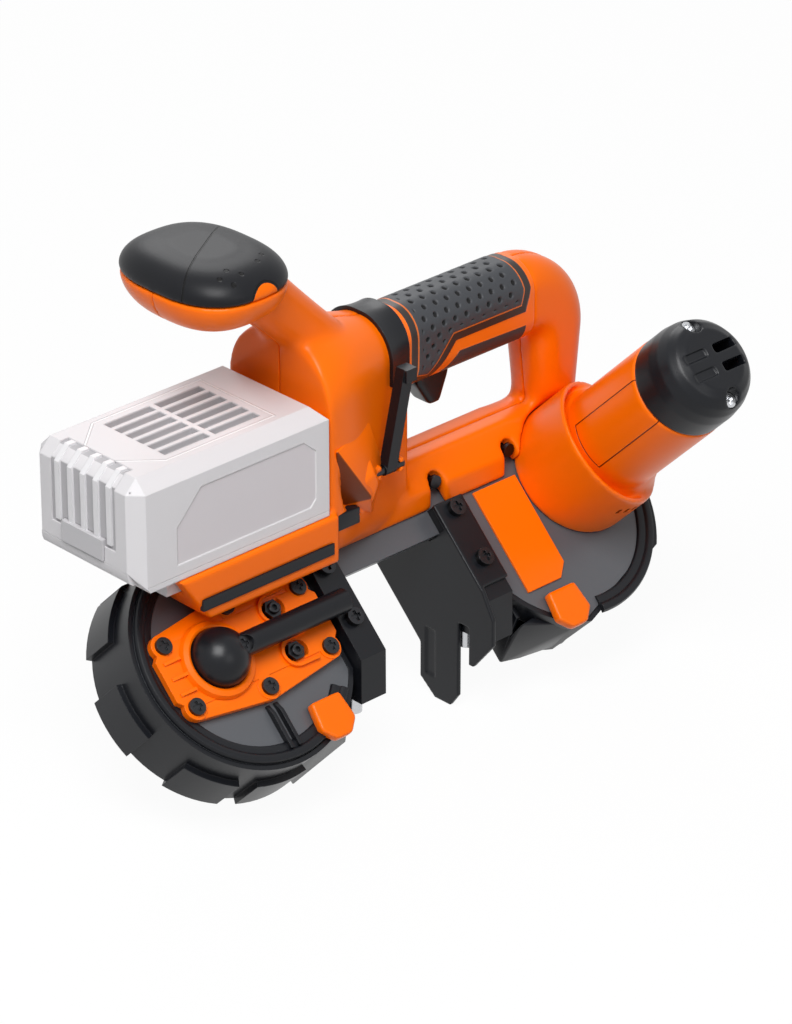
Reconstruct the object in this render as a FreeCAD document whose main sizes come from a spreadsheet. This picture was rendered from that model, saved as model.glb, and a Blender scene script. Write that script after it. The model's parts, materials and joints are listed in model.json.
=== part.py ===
"""Portable band saw with a tilted blade band, a battery foot and a loop handle.

Three local frames are used.  In the band frame x runs from the idler wheel to the drive wheel,
y points to the handle and z out of the grey frame face, with zero on the idler axis.  The tool
frame has the same zero but stands upright.  The handle frame stands upright on the split plane
of the two handle shells.  The part's own origin is where the tooth line meets the work stop.
"""
import FreeCAD, Part
import math
import operator
import os

import Sketcher

Vec = FreeCAD.Vector
ROOT_HALF = math.sqrt(0.5)
FULL_TURN = 360.0
HALF_TURN = 180.0
QUARTER_TURN = 90.0

# Driving dimensions in millimetres, grouped by piece.  Angles are in degrees.
DIMENSIONS = {
    # Common fits
    "overrun": 2.0, "fit": 0.02, "seat_gap": 0.3, "band_tilt": 45.0,
    # Blade band and wheels
    "wheel_spacing": 216.0, "wheel_radius": 47.7, "tyre_thickness": 2.6, "wheel_width": 14.0,
    "wheel_depth": 26.0, "wheel_web": 4.0, "hub_radius": 17.5, "rim_thickness": 5.0,
    "web_hole_radius": 7.0, "web_hole_circle": 28.0, "blade_width": 12.7, "blade_thickness": 0.5,
    "blade_inset": 6.25, "blade_gap": 0.25, "tyre_width": 13.0,
    # Frame casting
    "frame_radius": 59.2, "frame_thickness": 5.0, "neck_edge": 13.0, "back_edge": 53.0,
    "throat_front": 51.0, "throat_rear": 51.0, "bearing_boss_radius": 14.0,
    "bearing_boss_depth": 4.3,
    # Blade cover
    "cover_wall": 2.5, "flat_reach": 52.2, "flat_turn": 19.0, "cover_depth": 39.5,
    "channel_width": 13.5, "pad_rise": 3.2, "pad_height": 24.0, "exit_width": 22.0,
    "exit_height": 26.0,
    # Drive shaft and bearing
    "shaft_radius": 4.0, "bearing_radius": 11.0, "bearing_width": 7.0, "bearing_roof": 1.5,
    "wheel_bolt_radius": 7.0, "wheel_bolt_height": 3.0,
    # Gear train
    "first_module": 0.7, "second_module": 1.0, "gear_face": 7.0, "second_face": 6.5,
    "gear_gap": 1.2, "motor_offset_x": 24.0, "motor_offset_y": 15.5, "first_gear_height": 9.0,
    "stage_journal": 3.2, "stage_stub": 2.5,
    # Motor
    "motor_base_radius": 36.0, "motor_base_height": 24.0, "heel_radius": 30.0, "heel_offset": 13.0,
    "heel_height": 21.0, "motor_neck_height": 40.0, "shoe_middle": 36.5, "shoe_slant": 25.5,
    "shoe_lip": 3.2, "scoop_depth": 9.0, "motor_barrel_radius": 28.0, "motor_barrel_height": 106.0,
    "motor_wall": 3.0, "cap_height": 32.0, "cap_top_radius": 20.0, "cap_well_depth": 9.0,
    "cap_slot_depth": 9.0, "cap_screw_circle": 20.4, "cap_screw_radius": 2.6, "stator_bore": 14.6,
    "stator_seat": 6.0, "stator_gap": 1.4, "rotor_radius": 14.0, "rotor_shaft_radius": 2.5,
    "fan_radius": 22.0, "fan_height": 7.0, "fan_gap": 2.3, "motor_bearing_radius": 8.0,
    "motor_bearing_width": 5.0, "partition_low": 36.0, "partition_thickness": 6.0,
    # Idler axle, tension carriage and lever
    "axle_radius": 5.0, "idler_bearing_radius": 13.0, "carriage_thickness": 5.0,
    "carriage_low_x": 31.0, "carriage_high_x": 32.0, "carriage_half_width": 17.0,
    "tension_travel": 3.0, "stud_x": 23.5, "stud_y": 11.8, "stud_radius": 3.0, "nut_radius": 5.0,
    "nut_height": 4.0, "plate_length": 104.0, "plate_width": 46.0, "plate_thickness": 5.5,
    "plate_corner": 6.0, "plate_screw_end": 43.8, "plate_screw_end_y": 16.8,
    "plate_screw_mid_y": 22.5, "plate_boss_radius": 6.4, "plate_screw_radius": 2.0,
    "plate_head_radius": 4.4, "plate_head_height": 2.0, "plate_screw_depth": 4.2, "lever_x": 19.6,
    "lever_dome_radius": 15.5, "lever_dome_sink": 8.0, "lever_arm_radius": 6.25,
    "lever_arm_length": 77.8, "lever_arm_height": 15.0, "lever_shaft_radius": 6.0,
    "cam_radius": 2.8, "cam_play": 0.8, "lever_screw_x": 10.0, "lever_screw_radius": 4.4,
    "lever_screw_height": 2.4, "lever_screw_low": 16.4,
    # Blade guides
    "guide_length": 16.6, "guide_front_x": 54.6, "guide_pad_back": 26.0, "guide_pad_reach": 30.0,
    "guide_pad_height": 8.0, "leg_near": 27.0, "leg_far": 3.0, "leg_bottom": 40.5,
    "roller_radius": 4.5, "roller_length": 9.0, "roller_gap": 0.05, "roller_pin_radius": 1.5,
    "thrust_radius": 5.0, "thrust_width": 5.0, "guide_screw_back": 20.0, "guide_screw_front": 9.0,
    "guide_screw_radius": 2.5, "guide_head_radius": 4.6, "guide_head_height": 3.4,
    "pin_engagement": 8.0,
    # Work stop
    "stop_x": 140.0, "stop_thickness": 2.5, "flange_length": 20.0, "flange_front": 22.6,
    "stop_bottom_edge": 54.5, "stop_under_edge": 6.5, "slot_half_width": 3.8, "slot_roof": 34.5,
    "tail_tip": 85.0, "tail_left": 20.7, "tail_shoulder": 76.2, "tail_foot": 9.6,
    "tail_corner": 77.2, "prong_right": 32.4, "prong_shoulder": 39.0, "prong_tip": 56.0,
    "prong_tip_w": 18.5, "stop_brow": 24.0, "groove_left": 16.5, "groove_right": 9.5,
    "groove_top": 46.0, "groove_bottom": 73.0, "groove_depth": 1.0,
    # Cover latches and label plate
    "latch_x": 26.0, "latch_y": 46.5, "latch_pin_radius": 3.0, "latch_reach": 13.5,
    "latch_tail": 8.0, "latch_half_width": 9.5, "latch_height": 6.0, "latch_pin_depth": 4.0,
    "label_gap": 0.3, "label_length": 30.0, "label_front": 33.5, "label_back": 25.0,
    "label_thickness": 1.2, "label_chamfer": 7.0,
    # Handle shells
    "handle_offset": 38.0, "shell_wall": 3.0, "bar_half_width": 21.0, "bar_low": 12.0,
    "bar_shoulder": 31.0, "bar_top": 44.5, "bar_top_half_width": 10.0, "bar_end": 250.0,
    "foot_front": 40.0, "foot_slant": 18.0, "foot_half_width": 40.5, "foot_low": 27.0,
    "foot_floor": 41.0, "foot_rim": 53.0, "rail_wall": 9.5, "tower_front": 60.5,
    "tower_length": 70.0, "tower_half_width": 37.0, "tower_top": 139.0, "keepout_gap": 0.6,
    "strip_height": 6.0, "strip_depth": 1.6, "strip_low": 33.0, "strip_front": 27.0,
    "strip_length": 86.0, "cheek_x": 63.0, "cheek_length": 36.0, "cheek_low": 42.0,
    "cheek_height": 55.0, "cheek_root": 24.0, "grip_height": 108.0, "grip_width": 35.0,
    "grip_depth": 44.0, "grip_corner": 15.0, "grip_start": 112.0, "loop_end": 244.5,
    "loop_bend": 24.0, "post_width": 32.0, "post_depth": 25.0, "post_corner": 11.0,
    "post_foot": 32.0, "rubber_front": 131.0, "rubber_rear": 220.0, "rubber_thickness": 1.6,
    "rubber_proud": 0.3, "knob_x": 13.0, "knob_half_length": 33.0, "knob_half_width": 42.0,
    "knob_shell_height": 18.0, "knob_rim": 186.0, "knob_cap_height": 15.0, "arm_foot_x": 96.0,
    "arm_foot_z": 116.0, "arm_head_x": 36.0, "arm_head_drop": 10.0, "arm_width": 34.0,
    "arm_depth": 27.0, "arm_corner": 11.0, "band_thickness": 2.2, "belt_x": 121.0,
    "belt_width": 15.0, "belt_low": 100.0, "hook_width": 7.0, "hook_thickness": 6.0,
    "hook_length": 52.0, "hook_pin_radius": 2.2, "hook_top": 114.0, "hook_foot_x": 103.0,
    "hook_lean": 12.0, "hook_y": 29.8,
    # Trigger, switch and electronics
    "trigger_x": 146.5, "trigger_length": 24.0, "trigger_width": 14.0, "trigger_drop": 24.0,
    "trigger_pin_radius": 1.8, "trigger_pin_half": 11.0, "trigger_gap": 0.4, "switch_length": 34.0,
    "switch_width": 18.0, "switch_drop": 2.2, "switch_height": 20.0, "board_length": 34.0,
    "board_width": 40.0, "board_thickness": 1.6, "board_height": 70.0, "block_width": 40.0,
    "block_height": 9.0, "block_thickness": 1.6, "contact_length": 5.0, "contact_thickness": 0.8,
    "contact_height": 6.0, "contact_pitch": 10.0,
    # Battery
    "pack_front": 66.0, "nose_length": 10.0, "nose_height": 11.0, "button_lift": 9.0,
    "pack_half_width": 38.2, "pack_low": 53.4, "pack_top": 113.0, "pack_wall": 2.2,
    "pack_chamfer": 7.0, "tongue_half_width": 29.5, "tongue_low": 41.4, "cell_radius": 9.2,
    "cell_length": 65.0, "cell_pitch": 19.4, "button_width": 30.0, "button_height": 11.0,
    "button_depth": 8.0, "button_proud": 1.4,
    # Shell screws
    "shell_screw_radius": 2.0, "shell_head_radius": 3.6, "shell_head_height": 2.4,
    "shell_screw_length": 22.0, "bar_screw_front": 150.0, "bar_screw_gap": 2.0,
    "bar_screw_height": 32.0,
}

# Gear teeth counts, from the motor to the drive wheel
FIRST_PINION_TEETH = 7
FIRST_GEAR_TEETH = 40
SECOND_PINION_TEETH = 9
SECOND_GEAR_TEETH = 47
TOOTH_WIDTH_SHARE = 0.36
TOOTH_TIP_SHARE = 0.5
TOOTH_ROOT_SHARE = 1.5
ADDENDUM_SHARE = 0.8
DEDENDUM_SHARE = 1.15

OPERATIONS = {"+": operator.add, "-": operator.sub, "*": operator.mul, "/": operator.truediv}


class Size:
    """A length that carries its value and the sheet expression that gives it."""

    def __init__(self, value, text):
        self.value = float(value)
        self.text = text

    def __float__(self):
        return self.value

    def __add__(self, other):
        return joined(self, "+", other)

    def __radd__(self, other):
        return joined(other, "+", self)

    def __sub__(self, other):
        return joined(self, "-", other)

    def __rsub__(self, other):
        return joined(other, "-", self)

    def __mul__(self, other):
        return joined(self, "*", other)

    def __rmul__(self, other):
        return joined(other, "*", self)

    def __truediv__(self, other):
        return joined(self, "/", other)

    def __neg__(self):
        return joined(0, "-", self)


def as_size(value):
    """Give a plain number the form of a size."""
    return value if isinstance(value, Size) else Size(value, "%.9g" % value)


def joined(left, sign, right):
    """Work out a sum or product together with its expression."""
    left, right = as_size(left), as_size(right)
    value = OPERATIONS[sign](left.value, right.value)
    return Size(value, "(%s %s %s)" % (left.text, sign, right.text))


class Sheet:
    """The document's spreadsheet, whose aliases read as sizes."""

    def __init__(self, document):
        self.page = document.addObject("Spreadsheet::Sheet", "sizes")
        for row, (alias, number) in enumerate(DIMENSIONS.items(), start=1):
            cell = "B%d" % row
            self.page.set("A%d" % row, alias)
            self.page.set(cell, "%.9g" % number)
            self.page.setAlias(cell, alias)
        document.recompute()

    def __getattr__(self, alias):
        return Size(self.page.get(alias), "sizes." + alias)


doc = FreeCAD.newDocument("band_saw")
s = Sheet(doc)
NODES = []

# Places that several pieces share
blade_v = s.wheel_radius + s.blade_gap + s.blade_thickness / 2 - s.blade_inset
blade_w = (blade_v - s.wheel_depth) * ROOT_HALF
blade_u = -(blade_v + s.wheel_depth) * ROOT_HALF
tooth_u = blade_u - s.blade_width / 2
back_u = blade_u + s.blade_width / 2
motor_x = s.wheel_spacing + s.motor_offset_x
frame_low = -s.frame_thickness
wheel_low = -s.wheel_depth - s.wheel_width / 2
wheel_high = -s.wheel_depth + s.wheel_width / 2
cover_radius = s.frame_radius + s.seat_gap + s.cover_wall
cover_back = s.back_edge + s.seat_gap + s.cover_wall
end_plate_low = s.motor_barrel_height - s.motor_bearing_width - s.seat_gap
fan_low = end_plate_low - s.fan_gap - s.fan_height
stator_low = s.partition_low + s.partition_thickness + s.stator_seat
stator_high = fan_low - s.stator_gap
stage_reach = s.first_module * (FIRST_GEAR_TEETH / 2 + ADDENDUM_SHARE) + s.gear_gap
stage_high = s.first_gear_height + s.gear_face + s.gear_gap
arm_head_z = s.knob_rim - s.arm_head_drop
guide_rear_x = s.stop_x + s.stop_thickness + s.seat_gap
carriage_high = frame_low - s.seat_gap
carriage_low = carriage_high - s.carriage_thickness


def band_to_tool(v, n):
    """Turn band coordinates, v to the throat and n out of the face, into upright y and z."""
    return -(v + n) * ROOT_HALF, (n - v) * ROOT_HALF


def put(obj, x=0, y=0, z=0, turn=None):
    """Place an object by sizes, with the place bound to the sheet."""
    obj.Placement = FreeCAD.Placement(Vec(x, y, z), turn or FreeCAD.Rotation())
    for letter, size in zip("xyz", (x, y, z)):
        obj.setExpression("Placement.Base." + letter, as_size(size).text)
    return obj


def bind(obj, **sizes):
    """Bind the properties of an object to sheet expressions."""
    for name, size in sizes.items():
        obj.setExpression(name, as_size(size).text)
    return obj


def rod(radius, low, high, x=0, y=0):
    """A cylinder along z between two heights."""
    obj = doc.addObject("Part::Cylinder", "rod")
    bind(obj, Radius=radius, Height=high - low)
    return put(obj, x, y, low)


def rod_x(radius, low, high, y=0, z=0):
    """A cylinder along x."""
    obj = doc.addObject("Part::Cylinder", "rod")
    bind(obj, Radius=radius, Height=high - low)
    return put(obj, low, y, z, FreeCAD.Rotation(Vec(0, 1, 0), QUARTER_TURN))


def rod_y(radius, low, high, x=0, z=0):
    """A cylinder along y."""
    obj = doc.addObject("Part::Cylinder", "rod")
    bind(obj, Radius=radius, Height=high - low)
    return put(obj, x, low, z, FreeCAD.Rotation(Vec(1, 0, 0), -QUARTER_TURN))


def block(xs, ys, zs):
    """A box between pairs of coordinates."""
    obj = doc.addObject("Part::Box", "block")
    bind(obj, Length=xs[1] - xs[0], Width=ys[1] - ys[0], Height=zs[1] - zs[0])
    return put(obj, xs[0], ys[0], zs[0])


def cone(low_radius, high_radius, low, high, x=0, y=0):
    """A cone along z."""
    obj = doc.addObject("Part::Cone", "cone")
    bind(obj, Radius1=low_radius, Radius2=high_radius, Height=high - low)
    return put(obj, x, y, low)


def ball(radius, x=0, y=0, z=0):
    """A sphere."""
    obj = doc.addObject("Part::Sphere", "ball")
    bind(obj, Radius=radius)
    return put(obj, x, y, z)


def fuse(*pieces):
    """Join pieces into one solid, or into a group where they don't touch."""
    obj = doc.addObject("Part::MultiFuse", "joined")
    obj.Shapes = list(pieces)
    return obj


def cut(base, *tools):
    """Take tools away from a base."""
    obj = doc.addObject("Part::Cut", "cut")
    obj.Base = base
    obj.Tool = tools[0] if len(tools) == 1 else fuse(*tools)
    return obj


def common(first, second):
    """Keep what two pieces share."""
    obj = doc.addObject("Part::Common", "shared")
    obj.Base = first
    obj.Tool = second
    return obj


def feature(shape, name="form"):
    """A free form, whose shape is worked out from the sheet's sizes."""
    obj = doc.addObject("Part::Feature", name)
    obj.Shape = shape
    return obj


def ring(outer, inner, low, high, x=0, y=0):
    """A tube along z."""
    bore = rod(inner, low - s.overrun, high + s.overrun, x, y)
    return cut(rod(outer, low, high, x, y), bore)


def padded(points, plane, start, depth):
    """A body padded from a closed outline of straight sides, all bound to the sheet."""
    body = doc.addObject("PartDesign::Body", "body")
    sketch = body.newObject("Sketcher::SketchObject", "outline")
    origin_plane = [item for item in body.Origin.OriginFeatures if item.Role == plane][0]
    sketch.AttachmentSupport = (origin_plane, [""])
    sketch.MapMode = "FlatFace"
    sketch.setExpression("AttachmentOffset.Base.z", as_size(start).text)
    draw_outline(sketch, points)
    pad = body.newObject("PartDesign::Pad", "pad")
    pad.Profile = sketch
    pad.setExpression("Length", as_size(depth).text)
    return body


def draw_outline(sketch, points):
    """Draw a closed outline and bind each corner to its two sizes."""
    corners = [(as_size(a), as_size(b)) for a, b in points]
    places = [Vec(a, b, 0) for a, b in corners]
    lines = []
    for start, end in zip(places, places[1:] + places[:1]):
        lines.append(sketch.addGeometry(Part.LineSegment(start, end), False))
    for line, following in zip(lines, lines[1:] + lines[:1]):
        sketch.addConstraint(Sketcher.Constraint("Coincident", line, 2, following, 1))
    for line, corner in zip(lines, corners):
        for kind, size in zip(("DistanceX", "DistanceY"), corner):
            rule = Sketcher.Constraint(kind, -1, 1, line, 1, size.value)
            index = sketch.addConstraint(rule)
            sketch.setExpression("Constraints[%d]" % index, size.text)


def revolved(points):
    """A body turned about z from an outline of radius and height."""
    body = doc.addObject("PartDesign::Body", "body")
    sketch = body.newObject("Sketcher::SketchObject", "profile")
    plane = [item for item in body.Origin.OriginFeatures if item.Role == "XZ_Plane"][0]
    sketch.AttachmentSupport = (plane, [""])
    sketch.MapMode = "FlatFace"
    draw_outline(sketch, points)
    turn = body.newObject("PartDesign::Revolution", "turn")
    turn.Profile = sketch
    turn.ReferenceAxis = (sketch, ["V_Axis"])
    turn.Angle = FULL_TURN
    return body


def rounded_edges(base, radius, wanted):
    """Round the edges of an object that pass a test."""
    doc.recompute()
    obj = doc.addObject("Part::Fillet", "rounded")
    obj.Base = base
    numbers = [i for i, edge in enumerate(base.Shape.Edges, start=1) if wanted(edge)]
    obj.Edges = [(number, float(radius), float(radius)) for number in numbers]
    return obj


def along(edge, axis):
    """Tell whether a straight edge runs along an axis."""
    if edge.Curve.TypeId != "Part::GeomLine":
        return False
    return abs(edge.tangentAt(edge.FirstParameter).dot(axis)) > math.cos(math.radians(1))


# The three frames: turned or upright, and where their zero lies
BAND_PLACE = (-s.stop_x, blade_w, -tooth_u)
HANDLE_PLACE = (-s.stop_x, blade_w + s.handle_offset, -tooth_u)
TILT = FreeCAD.Rotation(Vec(1, 0, 0), s.band_tilt.value)


def node(label, obj, frame):
    """Register a sub-part under its own name in one of the frames."""
    if not obj.Placement.isIdentity():
        held = doc.addObject("Part::Compound", label)
        held.Links = [obj]
        obj = held
    place = HANDLE_PLACE if frame == "handle" else BAND_PLACE
    put(obj, *place, turn=TILT if frame == "band" else None)
    obj.Label = label
    NODES.append(obj)
    return obj


def lobe_flat(reach, low, high):
    """What lies beyond the flat side of the rear lobe, at a distance from the drive axis."""
    far = 2 * s.wheel_spacing
    beyond = block((-far, far), (-far, -reach), (low - s.overrun, high + s.overrun))
    turned = doc.addObject("Part::Compound", "flat")
    turned.Links = [beyond]
    return put(turned, s.wheel_spacing, 0, 0, FreeCAD.Rotation(Vec(0, 0, 1), s.flat_turn.value))


def lobes(radius, back, channel, grow, low, high, flat):
    """The two wheel lobes and the strip that joins them, with the throat cut free."""
    far = s.wheel_spacing + radius + s.overrun
    front = rod(radius, low, high)
    rear = rod(radius, low, high, s.wheel_spacing)
    strip = block((0, s.wheel_spacing), (channel, back), (low, high))
    behind = block((-far, far), (back, back + radius), (low - s.overrun, high + s.overrun))
    throat = block((s.throat_front + grow, s.wheel_spacing - s.throat_rear - grow),
                   (-far, channel), (low - s.overrun, high + s.overrun))
    return cut(fuse(front, rear, strip), behind, throat, lobe_flat(flat, low, high))


def frame_casting():
    """The grey casting: a flat plate with lobes, bearing bosses, holes and slots."""
    plate = lobes(s.frame_radius, s.back_edge, s.neck_edge, as_size(0), frame_low, as_size(0),
                  s.flat_reach - s.cover_wall - s.seat_gap)
    boss = rod(s.bearing_boss_radius, frame_low - s.bearing_boss_depth, frame_low + s.fit,
               s.wheel_spacing)
    seat = rod(s.bearing_radius + s.fit, frame_low - s.bearing_boss_depth - s.overrun,
               -s.bearing_roof, s.wheel_spacing)
    through = (frame_low - s.overrun, s.overrun)
    stage_hole = rod(s.stage_journal + s.fit, *through, *stage_place())
    lever_hole = rod(s.lever_shaft_radius + s.fit, *through, -s.lever_x)
    slots = [stud_slot(sign, s.stud_radius + s.seat_gap, *through) for sign in (1, -1)]
    pins = [rod(s.latch_pin_radius + s.fit, *through, x, -s.latch_y) for x in latch_places()]
    screws = [rod(s.plate_screw_radius + s.fit, -s.plate_screw_depth, s.overrun, x, y)
              for x, y in plate_screw_places()]
    threads = [rod(s.guide_screw_radius + s.fit, *through, x, s.guide_screw_back)
               for x in guide_screw_xs()]
    return cut(fuse(plate, boss), seat, stage_hole, lever_hole, *slots, *pins, *screws, *threads)


def stage_place():
    """Where the middle gear's pin stands, from the two centre distances."""
    first = s.first_module.value * (FIRST_PINION_TEETH + FIRST_GEAR_TEETH) / 2
    second = s.second_module.value * (SECOND_PINION_TEETH + SECOND_GEAR_TEETH) / 2
    across = Vec(s.motor_offset_x, s.motor_offset_y, 0)
    span = across.Length
    run = (second ** 2 - first ** 2 + span ** 2) / (2 * span)
    rise = math.sqrt(second ** 2 - run ** 2)
    ahead = across / span
    aside = Vec(-ahead.y, ahead.x, 0)
    spot = Vec(s.wheel_spacing, 0, 0) + ahead * run + aside * rise
    return as_size(spot.x), as_size(spot.y)


def latch_places():
    """Where the two latch pins stand along the saw."""
    return s.latch_x, s.wheel_spacing - s.latch_x


def plate_screw_places():
    """The six screws of the tension plate."""
    ends = [(x, y) for x in (-s.plate_screw_end, s.plate_screw_end)
            for y in (-s.plate_screw_end_y, s.plate_screw_end_y)]
    return ends + [(as_size(0), -s.plate_screw_mid_y), (as_size(0), s.plate_screw_mid_y)]


def guide_screw_xs():
    """The screws of the two blade guides, along the saw."""
    return s.guide_front_x + s.guide_length / 2, guide_rear_x + s.guide_length / 2


def stud_slot(sign, half_width, low, high):
    """A slot that lets a carriage stud travel, on one side of the axis."""
    start = rod(half_width, low, high, s.stud_x, sign * s.stud_y)
    end = rod(half_width, low, high, s.stud_x + s.tension_travel, sign * s.stud_y)
    middle = block((s.stud_x, s.stud_x + s.tension_travel),
                   (sign * s.stud_y - half_width, sign * s.stud_y + half_width), (low, high))
    return fuse(start, end, middle)


PAD_START_SHARES = (0.26, 0.34, 0.47, 0.60, 0.70)
PAD_SPAN_SHARE = 0.075
HALF_TURN_SHARE = 0.5


def cover_pad(x, start_share):
    """One raised bumper pad on the rim of the cover, from a share of the full turn."""
    low = -s.cover_depth
    tube = ring(cover_radius + s.pad_rise, cover_radius - s.fit, low, low + s.pad_height, x)
    start = FULL_TURN * start_share
    reach = 2 * (cover_radius + s.pad_rise)
    corners = [Vec(0, 0, 0)]
    for angle in (start, start + FULL_TURN * PAD_SPAN_SHARE):
        turn = math.radians(angle)
        corners.append(Vec(reach * math.cos(turn), reach * math.sin(turn), 0))
    wedge = Part.Face(Part.makePolygon(corners + corners[:1]))
    slice_of_turn = feature(wedge.extrude(Vec(0, 0, s.pad_height)), "sector")
    put(slice_of_turn, x, 0, low)
    return common(tube, slice_of_turn)


def blade_cover():
    """The black tray under the wheels, with bumper pads and the two blade exits."""
    low = -s.cover_depth
    channel = cover_back - s.channel_width
    outer = lobes(cover_radius, cover_back, channel, s.seat_gap + s.cover_wall, low, as_size(0),
                  s.flat_reach)
    inner = lobes(cover_radius - s.cover_wall, cover_back - s.cover_wall, channel + s.cover_wall,
                  s.seat_gap, low + s.cover_wall, s.overrun, s.flat_reach - s.cover_wall)
    pads = [cover_pad(as_size(0), share) for share in PAD_START_SHARES]
    pads += [cover_pad(s.wheel_spacing, HALF_TURN_SHARE - share - PAD_SPAN_SHARE)
             for share in PAD_START_SHARES]
    neck = block((0, s.wheel_spacing), (s.neck_edge - s.seat_gap, s.back_edge + s.seat_gap),
                 (frame_low - s.seat_gap, s.overrun))
    far = 2 * s.wheel_spacing
    behind = block((-far, far), (cover_back, far), (low - s.overrun, s.overrun))
    shell = cut(fuse(outer, *pads), inner, neck, behind, lobe_flat(s.flat_reach, low, as_size(0)))
    exit_y = (-blade_v - s.exit_width / 2, -blade_v + s.exit_width / 2)
    exit_z = (-s.wheel_depth - s.exit_height / 2, -s.wheel_depth + s.exit_height / 2)
    reach = s.throat_front + s.cover_wall + s.overrun
    near = block((s.throat_front / 2, reach), exit_y, exit_z)
    far = block((s.wheel_spacing - reach, s.wheel_spacing - s.throat_rear / 2), exit_y, exit_z)
    return cut(shell, near, far)


WEB_HOLES = 6


def wheel(x, bore):
    """A spoked wheel with a hub, a web with round holes and a rim."""
    hub = rod(s.hub_radius, wheel_low, wheel_high, x)
    rim_radius = s.wheel_radius - s.tyre_thickness
    rim = ring(rim_radius, rim_radius - s.rim_thickness, wheel_low, wheel_high, x)
    web_low = -s.wheel_depth - s.wheel_web / 2
    web = rod(rim_radius - s.rim_thickness / 2, web_low, web_low + s.wheel_web, x)
    holes = []
    for index in range(WEB_HOLES):
        angle = math.radians(FULL_TURN * index / WEB_HOLES)
        holes.append(rod(s.web_hole_radius, wheel_low, wheel_high,
                         x + s.web_hole_circle * math.cos(angle),
                         s.web_hole_circle * math.sin(angle)))
    return cut(fuse(hub, rim, web), *holes,
               rod(bore + s.fit, wheel_low - s.overrun, wheel_high + s.overrun, x))


def tyre(x):
    """The rubber ring that the blade runs on."""
    low = -s.wheel_depth - s.tyre_width / 2
    return ring(s.wheel_radius, s.wheel_radius - s.tyre_thickness + s.fit, low, low + s.tyre_width, x)


def gear_shape(teeth, module, face, bore, turn=0.0):
    """A spur gear whose flanks narrow towards the tip, with the first tooth at a turn."""
    pitch = teeth * module / 2
    tip = pitch + ADDENDUM_SHARE * module
    root = pitch - DEDENDUM_SHARE * module
    step = 2 * math.pi / teeth
    half = step * TOOTH_WIDTH_SHARE / 2
    corners = []
    for index in range(teeth):
        middle = math.radians(turn) + index * step
        flank = ((root, -half * TOOTH_ROOT_SHARE), (pitch, -half), (tip, -half * TOOTH_TIP_SHARE),
                 (tip, half * TOOTH_TIP_SHARE), (pitch, half), (root, half * TOOTH_ROOT_SHARE))
        corners += [Vec(radius * math.cos(middle + angle), radius * math.sin(middle + angle), 0)
                    for radius, angle in flank]
    blank = Part.Face(Part.makePolygon(corners + corners[:1])).extrude(Vec(0, 0, face))
    if float(bore) > 0:
        blank = blank.cut(Part.makeCylinder(bore, face))
    return blank


def gear(teeth, module, face, bore, x, y, low, turn=0.0):
    """A gear set in its place."""
    obj = feature(gear_shape(teeth, float(module), face, bore, turn), "gear")
    return put(obj, x, y, low)


def mesh_turns():
    """Turns that set each gear's tooth into a gap of the one it meets."""
    stage_x, stage_y = stage_place()
    to_stage = math.degrees(math.atan2(stage_y.value, stage_x.value - s.wheel_spacing.value))
    to_stage_motor = math.degrees(math.atan2(stage_y.value - s.motor_offset_y.value,
                                             stage_x.value - motor_x.value))
    drive_turn = to_stage
    pinion_turn = to_stage + HALF_TURN + FULL_TURN / SECOND_PINION_TEETH / 2
    rotor_turn = to_stage_motor
    middle_turn = to_stage_motor + HALF_TURN + FULL_TURN / FIRST_GEAR_TEETH / 2
    return drive_turn, pinion_turn, middle_turn, rotor_turn


gear_low = frame_low - s.bearing_boss_depth - s.gear_gap - s.second_face
DRIVE_TURN, PINION_TURN, MIDDLE_TURN, ROTOR_TURN = mesh_turns()


def drive_parts():
    """Drive shaft, its bearing, the large gear, the drive wheel, its tyre and its bolt."""
    x = s.wheel_spacing
    top = -s.bearing_roof - s.seat_gap
    node("drive_shaft", rod(s.shaft_radius, wheel_low - s.overrun, top, x), "band")
    bearing_low = top - s.bearing_width
    node("drive_bearing", ring(s.bearing_radius, s.shaft_radius + s.fit, bearing_low, top, x), "band")
    node("drive_gear", gear(SECOND_GEAR_TEETH, s.second_module, s.second_face,
                            s.shaft_radius + s.fit, x, as_size(0), gear_low, DRIVE_TURN), "band")
    node("drive_wheel", wheel(x, s.shaft_radius), "band")
    node("drive_tyre", tyre(x), "band")
    bolt_low = wheel_low - s.wheel_bolt_height
    bolt = cut(rod(s.wheel_bolt_radius, bolt_low, wheel_low, x),
               rod(s.shaft_radius + s.fit, wheel_low - s.overrun, wheel_low + s.overrun, x))
    node("drive_wheel_nut", bolt, "band")


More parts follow.
